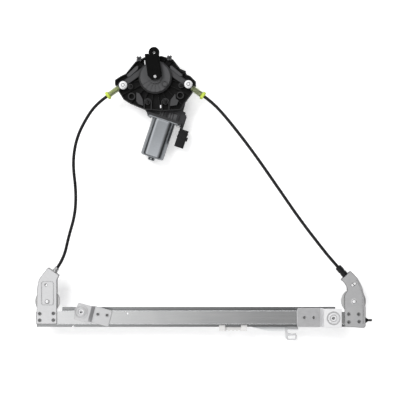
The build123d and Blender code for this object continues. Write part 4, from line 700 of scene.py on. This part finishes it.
def turned_all(profiles, places, steps=32):
    """A fill that turns each profile at each place."""
    def fill(bm):
        for place in places:
            for profile in profiles:
                turned(bm, profile, place, steps)
    return fill


BEAD_SECTION = [(-0.5, 0.0), (-0.3, 0.7), (0.0, 1.0), (0.3, 0.7), (0.5, 0.0)]
BEAD_SUNK = 0.02      # how deep a bead's foot lies in its face


def bead(bm, points, width, height, face_z, closed=False):
    """A pressed bead: a low rounded ridge along a line of points on a face."""
    line = [Vector(point) for point in points]
    rows = []
    for i, point in enumerate(line):
        before = line[i - 1] if i or closed else point
        after = line[(i + 1) % len(line)] if i + 1 < len(line) or closed else point
        along = (after - before).normalized()
        across = Vector((-along.y, along.x))
        row = []
        for share, rise in BEAD_SECTION:
            side = point + across * share * width
            row.append(bm.verts.new(Vector((side.x, side.y, face_z - BEAD_SUNK + rise * height)) * MM))
        rows.append(row)
    pairs = list(zip(rows, rows[1:])) + ([(rows[-1], rows[0])] if closed else [])
    for low, high in pairs:
        for i in range(len(BEAD_SECTION) - 1):
            bm.faces.new((low[i], low[i + 1], high[i + 1], high[i]))


def rounded_box_line(x0, y0, x1, y1, radius, steps=6):
    """The outline of a box with rounded corners."""
    corners = [(x1 - radius, y1 - radius, 0), (x0 + radius, y1 - radius, 1),
               (x0 + radius, y0 + radius, 2), (x1 - radius, y0 + radius, 3)]
    points = []
    for x, y, quarter in corners:
        for i in range(steps + 1):
            angle = (quarter + i / steps) * math.pi / 2
            points.append((x + radius * math.cos(angle), y + radius * math.sin(angle)))
    return points


def smooth_line(points, steps=6):
    """Points along a smooth curve through the given ones."""
    line = [Vector(point) for point in points]
    line = [2 * line[0] - line[1], *line, 2 * line[-1] - line[-2]]
    made = []
    for a, b, c, d in zip(line, line[1:], line[2:], line[3:]):
        for i in range(steps):
            t = i / steps
            made.append(0.5 * (2 * b + (c - a) * t + (2 * a - 5 * b + 4 * c - d) * t ** 2
                               + (3 * b - a - 3 * c + d) * t ** 3))
    return made + [line[-2]]


# Sheet metal: clinch dents, pad rings, threads, pins and pressed beads. A profile's heights are
# above its face.

PLATE_FRONT = -10.5
STRAP_FRONT = -10.0
PULLEYS = {"left": -499.3, "right": 37.5}      # each one's X
CLINCHES = {      # on each end bracket, from its pulley's X
    "left": [(-12.8, 6.8), (11.2, 7.3), (-12.8, -4.7), (11.0, -4.5)],
    "right": [(-9.3, 6.1), (8.0, 5.8), (-8.9, -7.9), (8.9, -7.0)],
}
MOUNTS = {        # each mounting bracket's thread, and the clinches on its base from there
    "left": (at(-438.4, 11.0, 0.0, math.radians(-14.5)), [(28.5, 2.0), (44.5, 4.5)]),
    "right": (at(0.0, 0.0, 0.0, math.pi), [(33.0, 0.0), (49.5, 0.0)]),
}
DENT = [(2.1, -0.35), (1.7, -0.50), (1.2, -0.66), (0.7, -0.60), (0.0, -0.35)]
DENT_LIP = [(3.5, -0.05), (3.1, 0.18), (2.8, 0.2), (2.5, -0.1)]
PAD_RING = [(12.2, -0.05), (11.6, 0.32), (10.4, 0.32), (9.7, -0.05)]
BOLT_RING = [(6.9, -0.05), (6.4, 0.28), (5.5, 0.28), (5.0, -0.05)]
THREAD_MOUTH = 3.1
THREAD_R = 2.5
THREAD_DEEP = 0.35
THREAD_PITCH = 0.8
THREAD_TURNS = 4
LEFT_PANEL = rounded_box_line(-509.0, 22.0, -488.0, 63.0, 4.0)
PANEL_BEAD = (1.6, 0.35)      # width and height
RIGHT_EDGE = [(42.3, 66.0), (48.4, 51.5), (51.8, 38.4), (52.9, 21.0), (53.2, 4.0), (53.2, -11.0)]
EDGE_BEAD = (2.2, 0.5)
PIN_Y = 28.2
PIN_FRONT = PLATE_FRONT + 1.2
PIN_HEAD = [(3.0, -1.2), (3.0, 0.1), (2.5, 0.35), (1.4, 0.5), (0.0, 0.55)]
# A ring of painted shade round each pin head
PIN_GAP_SHADE = [(3.9, 0.02), (3.5, 0.06), (3.0, 0.06)]


def plate_dents(side):
    return [at(PULLEYS[side] + x, y, PLATE_FRONT) for x, y in CLINCHES[side]]


def strap_dents(side):
    place, points = MOUNTS[side]
    return [place @ at(x, y, STRAP_FRONT) for x, y in points]


def add_dents():
    """Each clinch has a cup painted dark as shade and a thin raised lip."""
    for side in ("left", "right"):
        for name, places, slot in (("bracket", plate_dents(side), "bracket_steel"),
                                   ("mount", strap_dents(side), "strap_steel")):
            add_piece(f"{side}_{name}_clinch_cups", turned_all([DENT], places, 20), PAINTED_SHADE)
            add_piece(f"{side}_{name}_clinch_lips", turned_all([DENT_LIP], places, 20), FINISHES[slot])


def thread_profile():
    """The grooves that a bolt sees in a press nut, from the front inwards."""
    profile = [(THREAD_MOUTH, 0.03), (THREAD_R, -0.2)]
    for i in range(THREAD_TURNS):
        height = -0.2 - i * THREAD_PITCH
        profile += [(THREAD_R - THREAD_DEEP, height - THREAD_PITCH / 2), (THREAD_R, height - THREAD_PITCH)]
    return profile


def add_pads():
    """Two rings on each pad, and the thread of its press nut, painted dark as shade."""
    for side, (place, _) in MOUNTS.items():
        add_piece(f"{side}_pad_rings", turned_all([PAD_RING, BOLT_RING], [place]), FINISHES["strap_steel"])
    for side, (place, _) in MOUNTS.items():
        add_piece(f"{side}_nut_thread", turned_all([thread_profile()], [place]), PAINTED_SHADE)


def add_pin_heads():
    """The head of each pulley's rivet, with a dark ring of painted shade round it."""
    for side, x in PULLEYS.items():
        place = at(x, PIN_Y, PIN_FRONT)
        add_piece(f"{side}_pin_head", turned_all([PIN_HEAD], [place]), FINISHES["fastener_zinc"])
        add_piece(f"{side}_pin_gap_shade", turned_all([PIN_GAP_SHADE], [place]), PAINTED_SHADE)


def add_beads():
    """A pressed panel on the left end bracket and a raised edge on the right one."""
    look = FINISHES["bracket_steel"]
    add_piece("left_bracket_panel", lambda bm: bead(bm, LEFT_PANEL, *PANEL_BEAD, PLATE_FRONT, True), look)
    add_piece("right_bracket_bead", lambda bm: bead(bm, smooth_line(RIGHT_EDGE), *EDGE_BEAD, PLATE_FRONT),
              look)


add_dents()
add_pads()
add_pin_heads()
add_beads()


# Drum housing: petals round the hub, crowns on the clip posts, studs in the nuts, closed channels.
# Places across it are from the drum's axis.

HUB_TOP = -3.0
PETALS = 6
PETAL_ARC = (-150.0, -30.0)
PETAL_OUT = 9.2
PETAL_STRETCH = (2.4, 1.6, 1.0)
PETAL = [(1.0, -0.4), (1.0, 0.2), (0.8, 0.5), (0.45, 0.62), (0.0, 0.65)]
CLIP_POSTS = [(-28.4, 32.0), (24.7, 33.6)]
CROWN_Z = -8.0
CROWN_OUT = 3.1
CROWN = [(2.2, -2.0), (2.3, 0.1), (1.8, 0.55), (0.9, 0.35), (0.0, 0.25)]
NUTS = [(-56.2, -14.0), (57.9, -12.4)]
NUT_TOP = -3.0
STUD = [(2.4, -2.5), (2.4, -0.1), (2.0, 0.35), (0.0, 0.5)]
# A ring of painted shade round each stud
STUD_GAP_SHADE = [(3.4, -0.05), (3.2, 0.06), (2.4, 0.06)]
DISC_Z = -5.0
DISC_BOSS = (16.5, -12.4)
DISC_BOSS_RING = [(5.4, -0.6), (5.1, 1.3), (4.6, 1.6), (3.4, 1.6), (3.0, 1.2)]
DISC_BOSS_WELL = [(3.1, 1.3), (2.6, 0.3), (0.0, 0.2)]
WEB_BACK = -22.0
CHANNEL_TOP = -10.4
PANEL_TOP = -11.6
WEB_BEVEL = 0.8
CHANNELS = [      # the upper closed channels beside the two cable ducts
    [(-29.0, 20.5), (-33.0, 20.5), (-50.5, 4.0), (-48.5, 0.5), (-45.0, 1.0), (-30.0, 14.5)],
    [(25.0, 20.5), (28.5, 21.0), (48.0, 4.5), (47.0, 1.5), (43.0, 1.5), (26.0, 15.5)],
]
PANELS = [        # closed panels between the ring bosses and the lower screws
    [(-33.5, -25.5), (-28.0, -27.0), (-21.5, -38.0), (-21.0, -50.0), (-30.0, -47.0), (-34.0, -42.0)],
    [(35.0, -27.5), (26.0, -39.0), (25.0, -50.5), (38.0, -49.0), (41.5, -40.0), (36.5, -36.5)],
]
TABS = [          # small pale fixings beside the cover and below the disc, with their fronts
    ([(-18.4, 21.6), (-16.8, 21.6), (-17.6, 29.2), (-19.0, 29.2)], -4.2),
    ([(8.2, -54.0), (10.6, -53.2), (10.2, -48.0), (8.0, -48.4)], -11.0),
]
TAB_T = 1.2
TAB_BEVEL = 0.3
COVER_TOP = 3.0
COVER_BEAD = (1.3, 0.35)
COVER_LINES = [   # pressed lines along both sides of the bridge cover and across it
    [(-15.6, 36.0), (-10.6, 2.5), (-6.4, -1.6)], [(4.4, 36.0), (10.0, 2.5), (6.0, -1.6)],
    [(-12.0, 12.0), (8.0, 12.0)], [(-14.0, 32.5), (3.6, 32.5)],
]


def on_drum(x, y, z, turn=0.0, stretch=(1.0, 1.0, 1.0)):
    return at(DRUM.x / MM + x, DRUM.y / MM + y, z, turn, stretch)


def around(count, start=0.0, arc=math.tau):
    """Evenly spaced angles. A full turn doesn't repeat its first one."""
    gaps = count if arc == math.tau else count - 1
    return [start + arc * i / gaps for i in range(count)]


def petal_places():
    first, last = (math.radians(angle) for angle in PETAL_ARC)
    return [on_drum(PETAL_OUT * math.cos(a), PETAL_OUT * math.sin(a), HUB_TOP, a, PETAL_STRETCH)
            for a in around(PETALS, first, last - first)]


def crown_places():
    """Four knobs on each clip post."""
    return [on_drum(x + CROWN_OUT * math.cos(a), y + CROWN_OUT * math.sin(a), CROWN_Z)
            for x, y in CLIP_POSTS for a in around(4, math.pi / 4)]


def plate(bm, points, back, front, bevel):
    """A flat plate with its front edges broken."""
    middle = sum((Vector(point) for point in points), Vector((0.0, 0.0))) / len(points)
    rings = []
    for inset, height in ((0.0, back), (0.0, front - bevel), (bevel, front)):
        ring = []
        for point in points:
            out = Vector(point) - middle
            place = middle + out * (1 - inset / out.length)
            ring.append(bm.verts.new(on_drum(place.x, place.y, height).to_translation()))
        rings.append(ring)
    join_rings(bm, rings)
    bm.faces.new(rings[0])
    bm.faces.new(rings[-1])


def fill_webs(bm):
    for outlines, top in ((CHANNELS, CHANNEL_TOP), (PANELS, PANEL_TOP)):
        for points in outlines:
            plate(bm, points, WEB_BACK, top, WEB_BEVEL)


def fill_tabs(bm):
    for points, front in TABS:
        plate(bm, points, front - TAB_T, front, TAB_BEVEL)


def fill_cover_lines(bm):
    for line in COVER_LINES:
        bead(bm, [(DRUM.x / MM + x, DRUM.y / MM + y) for x, y in line], *COVER_BEAD, COVER_TOP)


def add_drive_pieces():
    black, zinc = FINISHES["housing_plastic"], FINISHES["fastener_zinc"]
    nut_places = [on_drum(x, y, NUT_TOP) for x, y in NUTS]
    boss = [on_drum(*DISC_BOSS, DISC_Z)]
    add_piece("bright_tabs", fill_tabs, zinc)
    # Painted shade round the studs
    add_piece("stud_gap_shades", turned_all([STUD_GAP_SHADE], nut_places), PAINTED_SHADE)
    add_piece("disc_boss_ring", turned_all([DISC_BOSS_RING], boss), black)
    add_piece("disc_boss_well", turned_all([DISC_BOSS_WELL], boss), FINISHES["cover_plastic"])
    add_piece("housing_webs", fill_webs, black)
    add_piece("cover_lines", fill_cover_lines, FINISHES["cover_plastic"])
    add_piece("hub_petals", turned_all([PETAL], petal_places(), 20), black)
    add_piece("clip_post_crowns", turned_all([CROWN], crown_places(), 16), black)
    add_piece("fixing_studs", turned_all([STUD], nut_places), zinc)


add_drive_pieces()


# Motor can, drawn from sheet, with its rounded end and bearing cup. The gearbox's field and ribs

WORM_Z = -33.0
WORM_OUT = 36.9       # from the drum's axis to the worm's
CAN_R = 21.0
CAN_HALF = 16.5       # from its axis to its flats
CAN_STEPS = 96
CAN_BLUR = 2          # steps to each side that its corners are eased over
CAN_RIB = [           # along the worm's axis, and how far in from the can's side
    (66.4, 0.0), (67.2, 0.0), (68.4, 0.25), (70.0, 0.0), (100.0, 0.0), (130.4, 0.0), (132.0, 0.35),
    (133.2, 1.2), (133.9, 2.4), (134.1, 3.6), (133.7, 4.3), (133.7, 6.0), (134.3, 6.9),
]
CAN_CUP = [           # radii, and how far along
    (7.6, 134.5), (6.6, 135.0), (6.3, 135.8), (6.3, 138.4), (5.8, 139.2), (4.6, 139.5), (4.2, 139.0),
    (0.0, 139.0),
]
CASE_TOP = 7.9        # from the worm's axis to the gearbox's front face
CASE_SUNK = 0.5       # how deep the field and the ribs start in that face
CASE_PAD = (-11.0, 20.0, 49.0, 61.5)      # across the worm, then along it
PAD_TOP = 0.9         # above that face, as RIB_TOP is
PAD_SIDE = 0.5        # how high its side stands, and how far its slope runs in
PAD_CORNER = 1.5
CASE_RIBS = [-8.0, -4.0, 4.5, 9.0, 13.5, 24.0]
CASE_RIB_SPAN = (47.0, 63.5)
RIB_T = 1.2
RIB_TOP = 1.7
RIB_SIDE = 0.6        # share of its height that stands straight
RIB_CREST = 0.3       # half its flat crest, as a share of its thickness


def worm_frame():
    """Millimetres to the scene, with X across the worm, Y to the front and Z along it."""
    along = Vector((-math.sin(LEAN), -math.cos(LEAN), 0.0))
    side = Vector((math.cos(LEAN), -math.sin(LEAN), 0.0))
    foot = DRUM + side * WORM_OUT * MM + Vector((0.0, 0.0, WORM_Z * MM))
    return Matrix(((side.x, 0.0, along.x, foot.x), (side.y, 0.0, along.y, foot.y),
                   (0.0, 1.0, 0.0, foot.z), (0.0, 0.0, 0.0, 1.0)))


def double_d(inset):
    """A circle cut by two flats, its corners eased by averaging the radius over a few steps."""
    radii = []
    for i in range(CAN_STEPS):
        lift = abs(math.sin(math.tau * i / CAN_STEPS))
        radius = CAN_R - inset
        radii.append(min(radius, (CAN_HALF - inset) / lift) if lift else radius)
    span = range(-CAN_BLUR, CAN_BLUR + 1)
    line = []
    for i in range(CAN_STEPS):
        radius = sum(radii[(i + k) % CAN_STEPS] for k in span) / len(span)
        angle = math.tau * i / CAN_STEPS
        line.append((radius * math.cos(angle), radius * math.sin(angle)))
    return line


def fill_can(bm):
    place = worm_frame()
    rings = []
    for along, inset in CAN_RIB:
        rings.append([bm.verts.new(place @ (Vector((x, y, along)) * MM)) for x, y in double_d(inset)])
    for radius, along in CAN_CUP:
        angles = around(CAN_STEPS if radius else 1)
        points = [Vector((radius * math.cos(a), radius * math.sin(a), along)) * MM for a in angles]
        rings.append([bm.verts.new(place @ point) for point in points])
    join_rings(bm, rings)


def raise_on_case(bm, outlines):
    """A raised field on the gearbox, through outlines at their heights above its face."""
    place = worm_frame()
    rings = []
    for line, height in outlines:
        rings.append([bm.verts.new(place @ (Vector((x, CASE_TOP + height, z)) * MM)) for x, z in line])
    join_rings(bm, rings)
    bm.faces.new(rings[-1])


def fill_case_pad(bm):
    """The smooth raised field that the ribs stand on."""
    left, right, near, far = CASE_PAD
    outlines = []
    for inset, height in ((0.0, -CASE_SUNK), (0.0, PAD_SIDE), (PAD_SIDE, PAD_TOP)):
        sides = (left + inset, near + inset, right - inset, far - inset)
        outlines.append((rounded_box_line(*sides, PAD_CORNER, 3), height))
    raise_on_case(bm, outlines)


def fill_case_ribs(bm):
    near, far = CASE_RIB_SPAN
    for x in CASE_RIBS:
        outlines = []
        for half, height in ((RIB_T / 2, -CASE_SUNK), (RIB_T / 2, RIB_SIDE * RIB_TOP),
                             (RIB_CREST * RIB_T, RIB_TOP)):
            outlines.append(([(x - half, near), (x + half, near), (x + half, far), (x - half, far)], height))
        raise_on_case(bm, outlines)


add_piece("gearbox_pad", fill_case_pad, GREY_CASE)
add_piece("gearbox_ribs", fill_case_ribs, FINISHES_BY_NODE["gearbox"])
add_piece("drawn_motor_can", fill_can, FINISHES["motor_steel"], ("motor_can",), sharp=60.0)


# Tensioner springs, close wound

SPRING_FOOT = (13.36, 18.72)              # across and up from the drum's axis
SPRING_SPAN = (62.0, 83.0)                # from there along the cable
SPRING_R = 5.1
SPRING_WIRE = 0.62
SPRING_TURNS = 13
SPRING_STEPS = 18
WIRE_SIDES = 6
TENSION_X, TENSION_Y = 0.8141, -0.5807    # the cable's direction there, on the right side


def fill_spring(bm, sign):
    """A coil along one cable, closed at both ends."""
    start = Vector((DRUM.x / MM + sign * SPRING_FOOT[0], DRUM.y / MM + SPRING_FOOT[1], CABLE_Z / MM))
    along = Vector((sign * TENSION_X, TENSION_Y, 0.0))
    side = Vector((-along.y, along.x, 0.0))
    up = Vector((0.0, 0.0, 1.0))
    near, far = SPRING_SPAN
    count = SPRING_TURNS * SPRING_STEPS
    rings = []
    for i in range(count + 1):
        share = i / count
        angle = math.tau * SPRING_TURNS * share
        out = side * math.cos(angle) + up * math.sin(angle)
        middle = start + along * (near + (far - near) * share) + out * SPRING_R
        ring = []
        for turn in around(WIRE_SIDES):
            edge = out * math.cos(turn) + along * math.sin(turn)
            ring.append(bm.verts.new((middle + edge * SPRING_WIRE) * MM))
        rings.append(ring)
    join_rings(bm, rings)
    bm.faces.new(rings[0])
    bm.faces.new(rings[-1])


for label, sign in (("left", -1), ("right", 1)):
    add_piece(f"{label}_wound_spring", lambda bm: fill_spring(bm, sign), FINISHES["spring_steel"],
              (f"{label}_tensioner_spring",), sharp=80.0)


# Conduits

def in_metres(route):
    return [Vector((x * MM, y * MM, CABLE_Z)) for x, y in route]


def conduit(name, node_name, route):
    """One smooth sheath through the points of its route."""
    curve = bpy.data.curves.new(name, "CURVE")
    curve.dimensions = "3D"
    curve.bevel_depth = CONDUIT_R
    curve.bevel_resolution = 6
    curve.resolution_u = 12
    curve.use_fill_caps = True
    spline = curve.splines.new("NURBS")
    points = in_metres(route)
    spline.points.add(len(points) - 1)
    for point, place in zip(spline.points, points):
        point.co = (*place, 1.0)
    spline.order_u = 3
    spline.use_endpoint_u = True
    curve.materials.append(FINISHES["conduit_sheath"])
    sheath = bpy.data.objects.new(name, curve)
    bpy.context.scene.collection.objects.link(sheath)
    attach(sheath, "root")
    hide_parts(node_name)


conduit("left_conduit_sheath", "left_conduit", LEFT_ROUTE)
conduit("right_conduit_sheath", "right_conduit", RIGHT_ROUTE)
